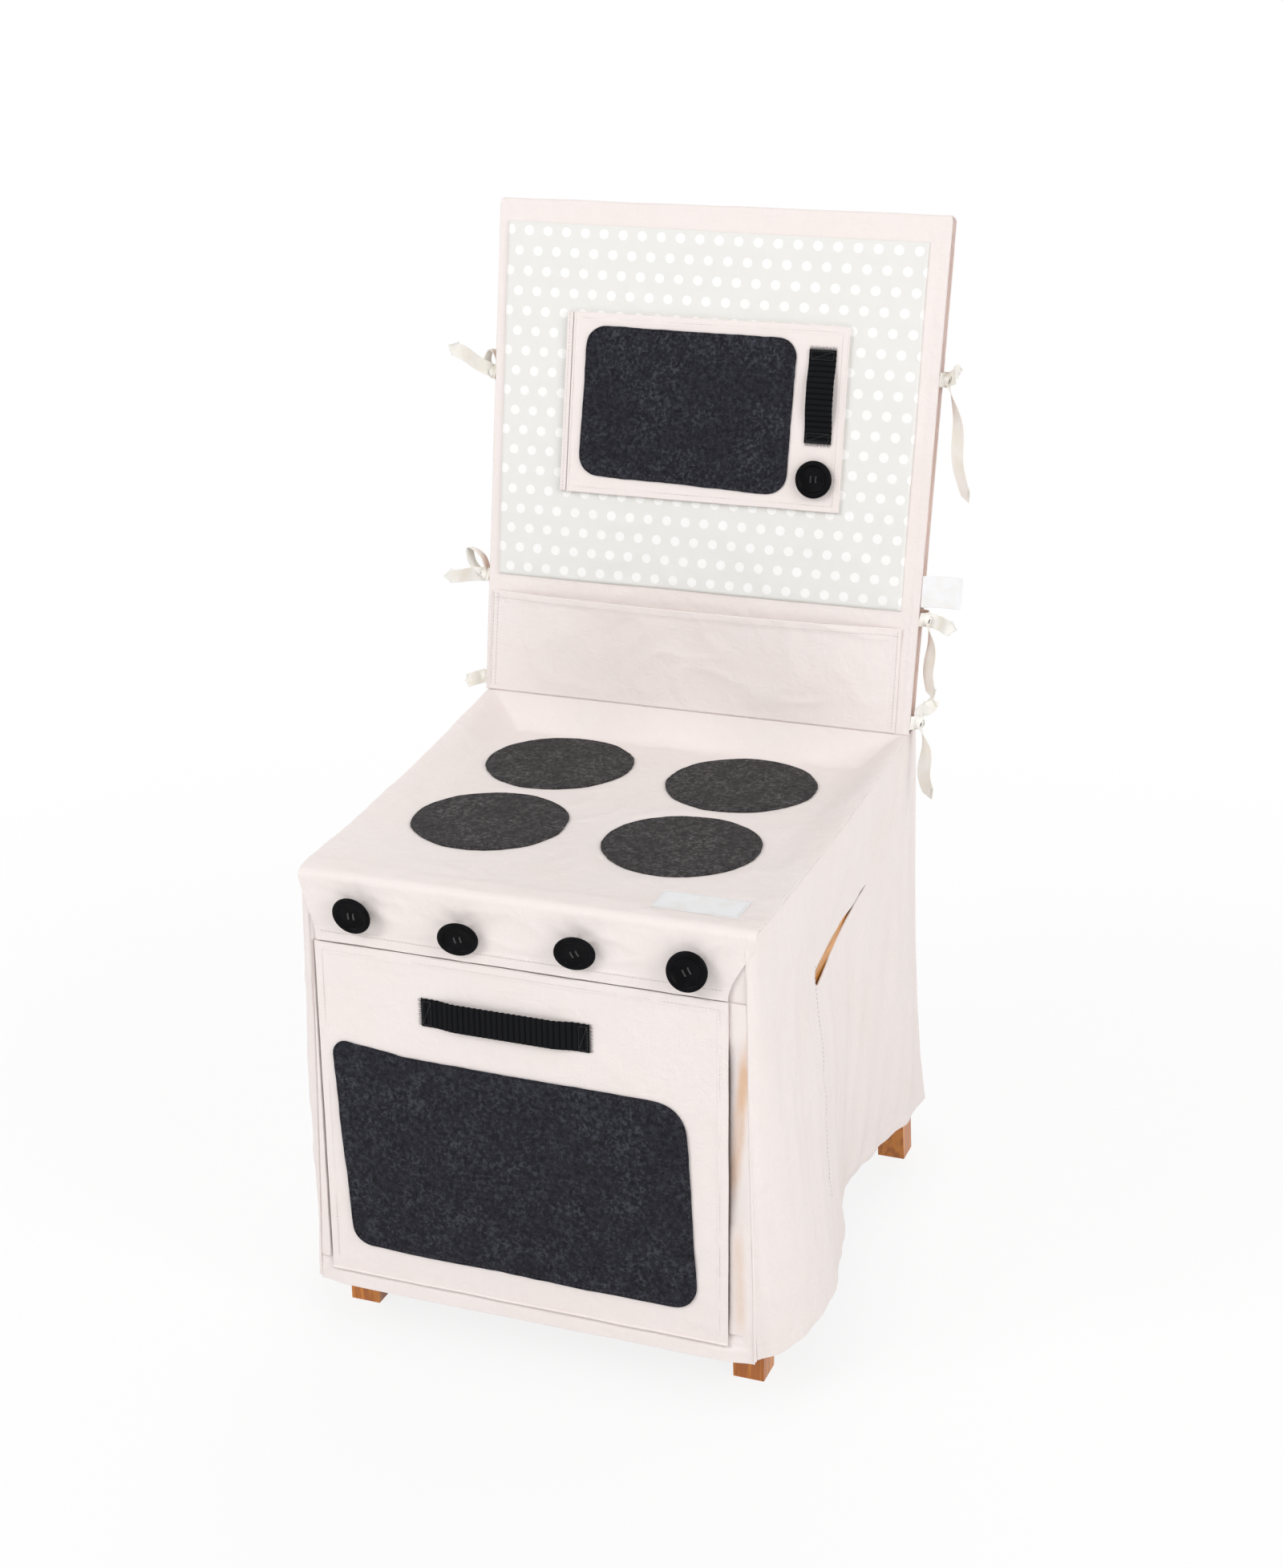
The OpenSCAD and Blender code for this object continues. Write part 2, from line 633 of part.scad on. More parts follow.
module slit_cut() {
    dir = unit(slit_high - slit_low);
    side = [-dir[1], dir[0]];
    along_x(leg_span / 2 - 10, leg_span / 2 + 40)
        polygon([slit_low - side * slit_w * 0.3, slit_low + dir * 4 - side * slit_w / 2,
                 slit_high - side * slit_tip_w / 2, slit_high + side * slit_tip_w / 2,
                 slit_low + dir * 4 + side * slit_w / 2, slit_low + side * slit_w * 0.3]);
}

module side_skirt(side) color(canvas_colour) placed() on_side(side) difference() {
    rows = 9;
    cols = 28;
    cloth([for (i = [0:cols]) let (u = pow(i / cols, 1.15))
           [for (j = [rows:-1:0]) side_point(u, j / rows)]], cloth_t);
    slit_cut();
}

module side_skirt_left() side_skirt(-1);
module side_skirt_right() side_skirt(1);

// Rear skirt: hangs from the back cover, over the splayed rear legs, in soft folds
module rear_skirt() color(canvas_colour) placed() {
    top = back_z;
    cols = 24;
    rows = 9;
    fold = 7;
    cloth([for (j = [0:rows]) let (z = lerp(hem_h, top, j / rows), t = 1 - j / rows)
           [for (i = [0:cols])
            let (u = 2 * i / cols - 1, wave = fold * pow(t, 1.6) * (1 - u * u) * cos(540 * u))
            [u * (cover_half_rear + lerp(-2, 1, t)), rear_skirt_y(z) + wave, z]]], cloth_t);
}

//--------------------------------------------------------- cover: back panels

module back_outline(half_low, half_top, h)
    polygon(concat([[-half_low, 0], [half_low, 0]],
                   corner_arc([half_low, 0], [half_top, h], [-half_top, h], 2, 3),
                   corner_arc([half_top, h], [-half_top, h], [-half_low, 0], 2, 3)));

module back_cover_front() color(canvas_colour) on_back() translate([0, 0, clearance])
    along_y(0, cloth_t) back_outline(back_half_low, back_half_top, back_cover_h - clearance);

module back_cover_top() color(canvas_colour) on_back()
    translate([-back_half_top + 1, 0, back_cover_h])
        cube([2 * back_half_top - 2, cover_depth, cloth_t]);

module back_cover_rear() color(canvas_colour) on_back()
    translate([0, 0, rear_cover_low]) along_y(rear_cover_gap, cover_depth)
        back_outline(back_half_low - 4, back_half_top - 4, back_cover_h - rear_cover_low);

// Pocket for utensils: sewn down on three sides, with its top hem bowed out
module utensil_pocket() color(canvas_colour) on_back() {
    cols = 20;
    rows = 7;
    cloth([for (i = [0:cols]) let (u = 2 * i / cols - 1)
           [for (j = [0:rows])
            let (t = j / rows, bow = utensil_bow * (1 - pow(abs(u), 2.4)) * pow(t, 1.3))
            [u * utensil_half - trim_shift, -0.05 - cloth_t - bow, lerp(1, utensil_h, t)]]], cloth_t);
}

module backsplash_panel() color(dotted_colour) on_back()
    along_y(-splash_t, 0)
        polygon(rounded_box(-trim_shift, splash_low + splash_h / 2, splash_w, splash_h, 3));

micro_x = -trim_shift - micro_w / 2;
micro_mid_z = micro_low + micro_h / 2;
micro_base_y = -splash_t - micro_base_t;
hinge_x = micro_x + micro_strip;
micro_door_y = micro_base_y - clearance - micro_door_t;
micro_roll_r = 1.2;

// Base of the microwave, with the strip that the door's hinge is sewn to
module microwave_base() color(canvas_colour) on_back() {
    along_y(micro_base_y, -splash_t)
        polygon(rounded_box(-trim_shift, micro_mid_z, micro_w, micro_h, 2));
    along_y(micro_door_y + clearance, micro_base_y + tiny)
        translate([micro_x, micro_low]) square([micro_strip - micro_roll_r - clearance, micro_h]);
}

// Bare woven labels, one on the hob and one folded into the side seam
module hob_label() color("white") placed()
    cloth([for (x = [110, 136, 162, 175, 188]) [for (y = [22, 34, 46, 59])
        [x, y, hob_height(x, y) + 0.7]]], 0.6);

module side_tag() color("white") on_back()
    translate([back_half_low + 2, 0.4, 124]) rotate([0, 0, 12]) cube([38, 0.8, 30]);

//------------------------------------------------------------------- burners

module burner(sx, row) color(burner_colour) placed()
    translate([sx * burner_x - trim_shift, burner_front_y + row * burner_row_gap, hob_z])
        cylinder(h = felt_t, d = burner_d, $fn = 96);

module burner_front_left() burner(-1, 0);
module burner_front_right() burner(1, 0);
module burner_rear_left() burner(-1, 1);
module burner_rear_right() burner(1, 1);

//----------------------------------------------------------------- oven door

door_left = door_mid_x - door_w / 2;
door_right = door_mid_x + door_w / 2;

// Side gusset's fold depth at height z, and the outer faces of its two layers
function gusset_fold(z) = lerp(gusset_low, gusset_top, (z - door_seam_h) / (door_top - door_seam_h));
gusset_near_y = door_back + clearance;
function gusset_far_y(x, z) =
    max(front_skirt_y(x, z) - 2 * clearance, gusset_near_y + 2 * gusset_t + 0.2);

// Side gusset: a pleat folded in behind the door, from its edge to the corner seam
module gusset(side) color(canvas_colour) placed() {
    edge = side < 0 ? -door_left : door_right;
    levels = [72, 110, 150, 200, 250, 290, 320, 336, 350, 366, door_top - 1];
    grid = [for (z = levels)
        let (x = edge, f = x - gusset_fold(z), seam = front_skirt_half(z), n = gusset_near_y,
             b = gusset_far_y(f, z))
        [[x - 1, n, z], [f + 3, n, z], [f, lerp(n, b, 0.3), z], [f, lerp(n, b, 0.7), z],
         [f + 3, b, z], [x - 10, gusset_far_y(x - 10, z), z],
         for (t = [0.25, 0.6, 1]) let (m = lerp(x, seam, t)) [m, front_skirt_y(m, z) - 2 * clearance, z]]];
    on_side(side) cloth(grid, gusset_t);
}

module gusset_left() gusset(-1);
module gusset_right() gusset(1);

tape_z = door_top - 26;

module closure_loop_tape() color(canvas_colour) placed()
    translate([door_mid_x - tape_len / 2, door_back, tape_z]) cube([tape_len, tape_t, tape_w]);

module closure_hook_tape() color("#D9D4CC") placed()
    translate([door_mid_x - tape_len / 2, door_back + tape_t + clearance, tape_z + 1])
        cube([tape_len, tape_t, tape_w - 2]);

// Door panel with its rolled seam, which it turns on
module oven_door() color(canvas_colour) placed() {
    along_y(door_front, door_back)
        polygon(concat([[door_left, door_seam_h], [door_right, door_seam_h]],
                       corner_arc([door_right, door_seam_h], [door_right, door_top],
                                  [door_left, door_top], 2, 3),
                       corner_arc([door_right, door_top], [door_left, door_top],
                                  [door_left, door_seam_h], 2, 3)));
    translate([door_left, door_axis_y, door_seam_h]) rotate([0, 90, 0]) cylinder(h = door_w, r = seam_r);
}

// Felt window, cut by hand: its corners from the door's left edge and seam
oven_window_corners = [[25, 30], [355, 28], [346, 228], [12, 236]];
window_corner_r = 22;

module oven_window() color(felt_colour) placed()
    translate([door_left, 0, door_seam_h]) along_y(door_front - felt_t, door_front)
        polygon(rounded(oven_window_corners, window_corner_r));

// Webbing strap along x, sewn down at both ends, with cross ribs and a finger gap behind it
module webbing_strap(length) {
    foot = 12;
    ribs = round(length / 5.4);
    half = length / 2;
    function lift(x) = handle_gap * smooth((half - foot - abs(x)) / 14);
    xs = concat([-half, -half + foot], [for (i = [1:7]) -half + foot + 2 * i],
                [for (i = [-4:4]) i * (half - foot - 14) / 5],
                [for (i = [7:-1:1]) half - foot - 2 * i], [half - foot, half]);
    linear_extrude(webbing_w)
        polygon(concat([for (x = xs) [x, -lift(x)]],
                       [for (i = [len(xs) - 1:-1:0]) [xs[i], -lift(xs[i]) - webbing_t]]));
    for (i = [1:ribs - 1]) let (x = -half + i * length / ribs)
        translate([x - 1.1, -lift(x) - webbing_t - 0.5, 0]) cube([2.2, 1, webbing_w]);
}

oven_handle_z = fascia_hem_h - 67;
oven_handle_x = -16;

module oven_handle() color(webbing_colour) placed()
    translate([oven_handle_x, door_front, oven_handle_z]) webbing_strap(oven_handle_len);

//------------------------------------------------------------ microwave door

module microwave_door() color(canvas_colour) on_back() {
    right = micro_x + micro_w;
    along_y(micro_door_y, micro_door_y + micro_door_t)
        polygon(concat([[hinge_x, micro_low + micro_h], [hinge_x, micro_low]],
                       corner_arc([hinge_x, micro_low], [right, micro_low], [right, micro_low + micro_h], 2, 3),
                       corner_arc([right, micro_low], [right, micro_low + micro_h],
                                  [hinge_x, micro_low + micro_h], 2, 3)));
    translate([hinge_x, micro_door_y, micro_low]) cylinder(h = micro_h, r = micro_roll_r);
}

module microwave_window() color(felt_colour) on_back()
    along_y(micro_door_y - felt_t, micro_door_y)
        polygon(rounded_box(hinge_x + 12 + micro_window_w / 2, micro_mid_z + 1,
                            micro_window_w, micro_window_h, 15));

micro_handle_x = micro_x + micro_w - 10.5 - webbing_w;

module microwave_handle() color(webbing_colour) on_back()
    translate([micro_handle_x + webbing_w, micro_door_y, micro_low + micro_h - 22 - micro_handle_len / 2])
        rotate([0, -90, 0]) webbing_strap(micro_handle_len);

//------------------------------------------------------------------- buttons

// Button with its face up, its back on z = 0: rolled rim, dished middle, four holes
module button() {
    r = button_d / 2;
    dish = 1.5;
    floor_r = r - button_rim - 2;
    difference() {
        rotate_extrude($fn = 96) polygon(concat(
            [[0, 0], [r - 2.4, 0]],
            [for (a = [-80:20:90]) [r - 1.8 + 1.8 * cos(a), button_t / 2 + (button_t / 2) * sin(a)]],
            [for (a = [90:-15:0]) [r - button_rim + 1.2 - (button_rim - 3) * (1 - a / 90),
                                   button_t - dish * 0.5 * (1 - sin(a)) * 2]],
            [[floor_r - 2, button_t - dish - 0.3], [0, button_t - dish - 0.3]]));
        for (a = [45:90:315]) rotate(a) translate([button_hole_r, 0, -1])
            cylinder(h = button_t + 2, d = button_hole_d, $fn = 24);
    }
}

// Sewing thread: through the four holes, gathered under the button into a wound shank
module button_thread(shank, tilt) {
    thread_d = button_hole_d - 0.9;
    top = button_t - 1.8;
    for (a = [45:90:315]) rotate(a) translate([button_hole_r, 0, -0.6])
        cylinder(h = top + 0.9, d = thread_d, $fn = 16);
    reach = button_hole_r * sin(45);
    for (side = [-1, 1]) translate([side * reach, 0, top + 0.5])
        cube([thread_d - 0.4, 2 * reach + thread_d / 2, 0.8], center = true);
    translate([0, 0, -1]) cylinder(h = 0.95, r = button_hole_r + thread_d / 2 + 0.5);
    start = clearance + shank_d / 2 * sin(tilt);
    translate([0, 0, -shank + start]) cylinder(h = shank - start - 0.9, d = shank_d);
}

// Fascia buttons: where each is sewn on, as [x, height above the hem], and how far it nods down
// and turns right
knob_places = [[-154.5, 35], [-56, 29], [52, 32], [154, 26]];
knob_tilts = [[12, 0], [19, 12], [19, 12], [-6, 5]];

// Frame of fascia button n: origin where it is sewn on, z out along its shank
module on_fascia(n) placed()
    translate([knob_places[n][0], 0, fascia_hem_h + knob_places[n][1]])
        rotate([90 + knob_tilts[n][0], 0, knob_tilts[n][1]]) children();

module knob(n) color(button_colour) on_fascia(n) translate([0, 0, shank_len]) rotate(10 * n) button();
module knob_thread(n) color(button_colour) on_fascia(n)
    translate([0, 0, shank_len]) rotate(10 * n) button_thread(shank_len, norm(knob_tilts[n]));

module knob_1() knob(0);
module knob_2() knob(1);
module knob_3() knob(2);
module knob_4() knob(3);
module knob_thread_1() knob_thread(0);
module knob_thread_2() knob_thread(1);
module knob_thread_3() knob_thread(2);
module knob_thread_4() knob_thread(3);

// Frame of the microwave's button: on its door, z out from the door's face
micro_button_x = micro_x + micro_w - 24.5;
micro_button_z = 30.5;
module on_micro_door() on_back()
    translate([micro_button_x, micro_door_y, micro_low + micro_button_z]) rotate([90, 0, 0]) children();

module microwave_button() color(button_colour) on_micro_door() translate([0, 0, short_shank_len]) button();
module microwave_button_thread() color(button_colour) on_micro_door()
    translate([0, 0, short_shank_len]) button_thread(short_shank_len, 0);

//------------------------------------------------------------------- ribbons

// Ribbon through points in its own plane, its width upright across that plane
module ribbon(path) translate([0, 0, -ribbon_w / 2])
    linear_extrude(ribbon_w) polygon(band(curve(path, 10), ribbon_t));

// Tie at a share of the back cover's height: a ribbon across the sleeve's open side, its knot and
// its tails. The knot is [how far out, depth]. A tail is [turn, path], turned as on the right side
module tie(side, share, knot_out, tails) color(ribbon_colour) on_back() on_side(side) {
    s = share * back_cover_h;
    half = lerp(back_half_low, back_half_top, share);
    knot = [half + knot_out[0], knot_out[1]];
    translate([0, 0, s])
        ribbon([[half - 3.9, cover_depth - 0.8], [half + 3.6, cover_depth - 6], knot, [half + 0.1, 0.4]]);
    translate([knot[0], knot[1], s]) {
        sphere(r = knot_r, $fn = 20);
        for (t = tails) rotate(t[0]) ribbon(t[1]);
    }
}

knot_r = 5;
// Tails that stick out, and small loops, as routes from the knot
function tail(length, wave) =
    [[0, 0], [length * 0.33, wave], [length * 0.68, -wave * 0.6], [length, wave * 0.4]];
function loop(length, bulge) =
    [[0, 2.5], [length * 0.55, bulge], [length, 0], [length * 0.55, -bulge], [0, -2.5]];

module tie_left_upper() tie(-1, 0.653, [5, 9], [
    [[0, -25, -55], tail(60, 4)], [[90, -80, 0], loop(22, 6)]]);
module tie_left_middle() tie(-1, 0.238, [6.5, 8], [
    [[0, 3, -46], tail(47, 4)], [[90, -52, 0], loop(32, 7)]]);
module tie_left_lower() tie(-1, 0.025, [4, 9], [
    [[0, 18, -18], tail(24, 2)]]);
module tie_right_upper() tie(1, 0.694, [5, 9], [
    [[0, -20, -50], tail(32, 3)], [[90, 76, 0], tail(117, 4)]]);
module tie_right_middle() tie(1, 0.23, [5.5, 9], [
    [[0, 9, -24], tail(37, 3)], [[90, 82, 0], tail(77, 3)]]);
module tie_right_lower() tie(1, 0.025, [6, 9], [
    [[90, 77, 0], tail(76, 4)], [[72, -66, 14], tail(28, 3)]]);

//--------------------------------------------------------------------- parts

seat_board();
front_leg_left();
front_leg_right();
rear_post_left();
rear_post_right();
front_rail();
rear_rail();
side_rail_left();
side_rail_right();
corner_blocks();
seat_screws();
top_rail();
lower_back_rail();
back_slats();
hob_panel();
control_fascia();
front_skirt();
side_skirt_left();
side_skirt_right();
rear_skirt();
back_cover_front();
back_cover_top();
back_cover_rear();
utensil_pocket();
backsplash_panel();
microwave_base();
hob_label();
side_tag();
burner_front_left();
burner_front_right();
burner_rear_left();
burner_rear_right();
gusset_left();
gusset_right();
closure_hook_tape();
closure_loop_tape();
oven_door();
oven_window();
oven_handle();
microwave_door();
microwave_window();
microwave_handle();
microwave_button();
microwave_button_thread();
knob_1();
knob_2();
knob_3();
knob_4();
knob_thread_1();
knob_thread_2();
knob_thread_3();
knob_thread_4();
tie_left_upper();
tie_left_middle();
tie_left_lower();
tie_right_upper();
tie_right_middle();
tie_right_lower();
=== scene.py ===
"""Play oven cover on a wooden chair: cloth, felt, webbing, ribbons and finishes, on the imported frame."""

import math

import bmesh
import bpy
import numpy as np
from bpy.props import FloatProperty, FloatVectorProperty, PointerProperty
from mathutils import Matrix, Vector

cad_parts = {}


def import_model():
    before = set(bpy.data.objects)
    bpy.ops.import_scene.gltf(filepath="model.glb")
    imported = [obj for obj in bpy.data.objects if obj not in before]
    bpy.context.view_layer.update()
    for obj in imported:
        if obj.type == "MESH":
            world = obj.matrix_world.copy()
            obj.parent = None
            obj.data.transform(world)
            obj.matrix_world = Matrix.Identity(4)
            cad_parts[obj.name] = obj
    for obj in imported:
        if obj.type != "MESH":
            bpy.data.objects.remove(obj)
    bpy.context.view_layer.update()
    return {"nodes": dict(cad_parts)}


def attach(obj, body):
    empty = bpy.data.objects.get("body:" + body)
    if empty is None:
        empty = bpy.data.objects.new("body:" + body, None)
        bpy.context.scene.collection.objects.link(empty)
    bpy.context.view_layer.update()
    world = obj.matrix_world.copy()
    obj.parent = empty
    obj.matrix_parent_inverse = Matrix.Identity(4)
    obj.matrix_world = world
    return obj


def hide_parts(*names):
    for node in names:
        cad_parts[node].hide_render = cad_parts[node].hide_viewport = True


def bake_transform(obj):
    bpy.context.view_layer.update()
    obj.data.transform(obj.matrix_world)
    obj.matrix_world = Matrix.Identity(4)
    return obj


bl_info = {
    "name": "Play Oven Cover",
    "version": (1, 0, 0),
    "blender": (4, 5, 0),
    "location": "View3D > Sidebar > Play Oven",
    "description": "Dresses a chair in a sewn play oven cover",
    "category": "Add Mesh",
}

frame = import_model()

# ---------------------------------------------------------------- measures, in millimetres
# Depth is counted from the cover's front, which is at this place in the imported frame
FRONT = -264
RAKE = math.radians(10)
HOB_Z, FASCIA_Z, HEM_Z = 457.6, 392, 49
SEAM_Y, BACK_Z = 428, 488.6  # the seam between the hob and the back
HOB_EDGE = 8  # radius of the fold over the seat's front edge
FOLD_Z = HOB_Z - HOB_EDGE
FRONT_HALF, REAR_HALF = 211.5, 220  # half the hob's width at its front and at its rear
SLEEVE_H, SLEEVE_D, SLEEVE_R = 488.4, 32.2, 3
CANVAS, FELT, WEB, RIBBON = 1.6, 1.8, 1.6, 0.8  # thicknesses
RIBBON_HALF = 7
SHIFT = -5  # the middle of the trims, counted from the chair's
DOOR_Z, DOOR_TOP = 62.5, 391.2
DOOR_LEFT, DOOR_RIGHT = -198, 188
DOOR_FRONT, DOOR_BACK = -1.4, 1.0
DOTTED_LEFT, DOTTED_W, DOTTED_LOW, DOTTED_H = -216, 422, 118, 348.5
POCKET_HALF, POCKET_H = 213, 101
MICRO_LEFT, MICRO_RIGHT, MICRO_LOW, MICRO_TOP = -148.5, 138.5, 207, 382
MICRO_HINGE = -139.5
MICRO_BASE, MICRO_FACE = -5.8, -8.5  # fronts of the microwave's base and door, from the back's face
MICRO_FINE = (0, 0.5, 1.2, 2.4, 4, 5, 5.8, 6.6, 7.4, 8.4, 10)
LABEL = (110, 188, 22, 59)
BURNERS = {"burner_front_left": (-98, 159), "burner_front_right": (88, 159),
           "burner_rear_left": (-98, 323), "burner_rear_right": (88, 323)}
BURNER_R = 72
KNOBS = [(-154.5, 427), (-56, 421), (52, 424), (154, 418)]
SLIT_LOW, SLIT_HIGH = (177, 337), (325, 373)  # the slit's two ends, as (depth, height)

# Depth of the oven pocket's back at each height above the door's seam
POCKET_LINE = [(-16.5, -2.8), (-5, -1.6), (-3, -0.6), (-1, 1.35), (2, 1.5), (7.5, 3.6), (17, 7),
               (32, 10.4), (50, 12), (261.7, 12), (272.7, 11.2), (282.7, 8.6), (292.7, 5.4),
               (302.7, 3.1), (336.7, 3.1), (366.7, 1.6), (374.7, 1.6)]
# Depth of the rear skirt at each height
REAR_LINE = [(49, 536), (108, 513), (175, 495), (250, 482), (330, 473), (400, 469), (440, 467),
             (470, 463.5), (488.6, 461)]
# A side skirt's two edges, each as (half the width, share of the depth)
SIDE_TOP = [(203, 0), (208.5, 0.004), (211.5, 0.018), (211.9, 0.08), (212.4, 0.2), (213.5, 0.36),
            (215, 0.52), (216.5, 0.66), (218, 0.8), (219, 0.92), (219.5, 1)]
SIDE_HEM = [(213, 0.006), (228, 0.045), (240, 0.11), (244, 0.2), (239, 0.3), (225, 0.42),
            (206, 0.54), (197, 0.64), (204, 0.76), (217, 0.88), (222, 1)]
# Each tie: its side, its height up the back, its knot, and its ribbon ends, each with its angles in degrees,
# its kind, its length and its wave
TIES = {
    "tie_left_upper": (-1, 318, (230.9, 9), [((0, -25, -55), "tail", 60, 4), ((90, -80, 0), "loop", 22, 6)]),
    "tie_left_middle": (-1, 115.9, (229.9, 8), [((0, 3, -46), "tail", 47, 4), ((90, -52, 0), "loop", 32, 7)]),
    "tie_left_lower": (-1, 12.2, (226.2, 9), [((0, 18, -18), "tail", 24, 2)]),
    "tie_right_upper": (1, 338, (231.2, 9), [((0, -20, -50), "tail", 32, 3), ((90, 76, 0), "tail", 117, 4)]),
    "tie_right_middle": (1, 112, (228.9, 9), [((0, 9, -24), "tail", 37, 3), ((90, 82, 0), "tail", 77, 3)]),
    "tie_right_lower": (1, 12.2, (228.2, 9), [((90, 77, 0), "tail", 76, 4), ((72, -66, 14), "tail", 28, 3)]),
}
# The photograph's camera, in metres: its place, its axes and its lens
CAMERA_AT = (0.81359, -2.07307, 1.29272)
CAMERA_RIGHT, CAMERA_UP = (0.93370905, 0.35788434, -0.01030593), (-0.11509651, 0.32729135, 0.93788761)
CAMERA_LENS, CAMERA_SENSOR = 58.33, 36
FLOOR_REACH = 6.0


def lerp(a, b, t):
    return a + (b - a) * t


def smooth(t):
    t = np.clip(t, 0, 1)
    return t * t * (3 - 2 * t)


def bell(distance, width):
    """1 at a distance of 0, falling away over a width."""
    return np.exp(-((distance / width) ** 2))


def unit(v):
    return v / np.maximum(np.linalg.norm(v, axis=-1, keepdims=True), 1e-9)


def spread(a, b):
    """Two grids: a along the first axis and b along the second."""
    return np.meshgrid(a, b, indexing="ij")


def stack(x, y, z):
    return np.stack(np.broadcast_arrays(x, y, z), -1)


def world(points):
    """Points in millimetres from the cover's front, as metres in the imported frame."""
    points = np.array(points, float)
    points[..., 1] += FRONT
    return points * 0.001


def on_back(x, d, s):
    """Points on the raked back: x across, d behind its face, s up its slope from the seam."""
    x, d, s = (np.asarray(v, float) for v in (x, d, s))
    cos, sin = math.cos(RAKE), math.sin(RAKE)
    return stack(x, SEAM_Y + d * cos + s * sin, BACK_Z - d * sin + s * cos)


def through(points, t):
    """Points at t, from 0 to 1, on the smooth curve through a list of points."""
    p = np.asarray(points, float)
    n = len(p) - 1
    s = np.clip(np.asarray(t, float), 0, 1) * n
    i = np.minimum(np.floor(s).astype(int), n - 1)
    f = (s - i)[..., None]
    a, b, c, d = (p[np.clip(i + k, 0, n)] for k in (-1, 0, 1, 2))
    return 0.5 * (2 * b + (c - a) * f + (2 * a - 5 * b + 4 * c - d) * f**2 + (3 * b - a - 3 * c + d) * f**3)


def ripple(x, y, seed=0):
    """Smooth noise from -1 to 1 over a plane whose cells are 1 across, the same on every run."""
    x, y = np.broadcast_arrays(np.asarray(x, float), np.asarray(y, float))
    xi, yi = np.floor(x).astype(np.int64), np.floor(y).astype(np.int64)
    xf, yf = x - xi, y - yi

    def corner(i, j):
        h = ((xi + i) * 374761393 + (yi + j) * 668265263 + seed * 974711) & 0xFFFFFFFF
        h = ((h ^ (h >> 13)) * 1274126177) & 0xFFFFFFFF
        angle = (h ^ (h >> 16)) / 4294967296 * 2 * np.pi
        return np.cos(angle) * (xf - i) + np.sin(angle) * (yf - j)

    u, v = smooth(xf), smooth(yf)
    return 1.5 * lerp(lerp(corner(0, 0), corner(1, 0), u), lerp(corner(0, 1), corner(1, 1), u), v)


def creases(x, y, seed=0):
    """Sharp-backed wrinkles from 0 to 1: ridges of a bent noise."""
    bend = 0.6 * ripple(x * 0.6, y * 0.6, seed + 7)
    return np.clip(1 - np.abs(ripple(x + bend, y - bend, seed)) * 2.6, 0, 1) ** 2


def graded(length, step, fine=(0, 0.5, 1.2, 2.4, 4, 6, 7.4, 8.4, 9.2, 10, 11.2, 13)):
    """Places from 0 to length: finer over both hems, evenly apart between them."""
    fine = [f for f in fine if f < length / 2 - step]
    inner = np.linspace(fine[-1], length - fine[-1], max(2, round((length - 2 * fine[-1]) / step)) + 1)
    return np.concatenate([fine[:-1], inner, [length - f for f in fine[-2::-1]]])


def hem(distance, width=9, height=0.5):
    """Height of a turned hem at a distance from the edge, with the dip along its stitches."""
    band = height * (1 - smooth((distance - width) / 1.4))
    return band - 0.35 * height * bell(distance - width + 1.6, 0.9)


# ------------------------------------------------------------------------- shaders


class Sock:
    """A socket of a node tree. Python's operators on it add the Math nodes of that sum."""

    def __init__(self, tree, socket):
        self.tree, self.socket = tree, socket

    def math(self, operation, *values):
        node = self.tree.nodes.new("ShaderNodeMath")
        node.operation = operation
        for slot, value in zip(node.inputs, values):
            if isinstance(value, Sock):
                self.tree.links.new(value.socket, slot)
            else:
                slot.default_value = value
        return Sock(self.tree, node.outputs[0])

    def __add__(self, other):
        return self.math("ADD", self, other)

    def __sub__(self, other):
        return self.math("SUBTRACT", self, other)

    def __rsub__(self, other):
        return self.math("SUBTRACT", other, self)

    def __mul__(self, other):
        return self.math("MULTIPLY", self, other)

    def __truediv__(self, other):
        return self.math("DIVIDE", self, other)

    def __rtruediv__(self, other):
        return self.math("DIVIDE", other, self)

    def __pow__(self, other):
        return self.math("POWER", self, other)

    def __abs__(self):
        return self.math("ABSOLUTE", self)

    __radd__, __rmul__ = __add__, __mul__

    def sin(self):
        return self.math("SINE", self)

    def floor(self):
        return self.math("FLOOR", self)

    def fract(self):
        return self.math("FRACT", self)

    def most(self, other):
        return self.math("MAXIMUM", self, other)

    def wave(self, length):
        """A sine wave from 0 to 1, at a length in the socket's own measure."""
        return (self * (2 * math.pi / length)).sin() * 0.5 + 0.5

    def ramp(self, low, high):
        """0 below low, 1 above high, smooth between them."""
        node = self.tree.nodes.new("ShaderNodeMapRange")
        node.interpolation_type = "SMOOTHSTEP"
        self.tree.links.new(self.socket, node.inputs["Value"])
        node.inputs["From Min"].default_value, node.inputs["From Max"].default_value = low, high
        return Sock(self.tree, node.outputs["Result"])


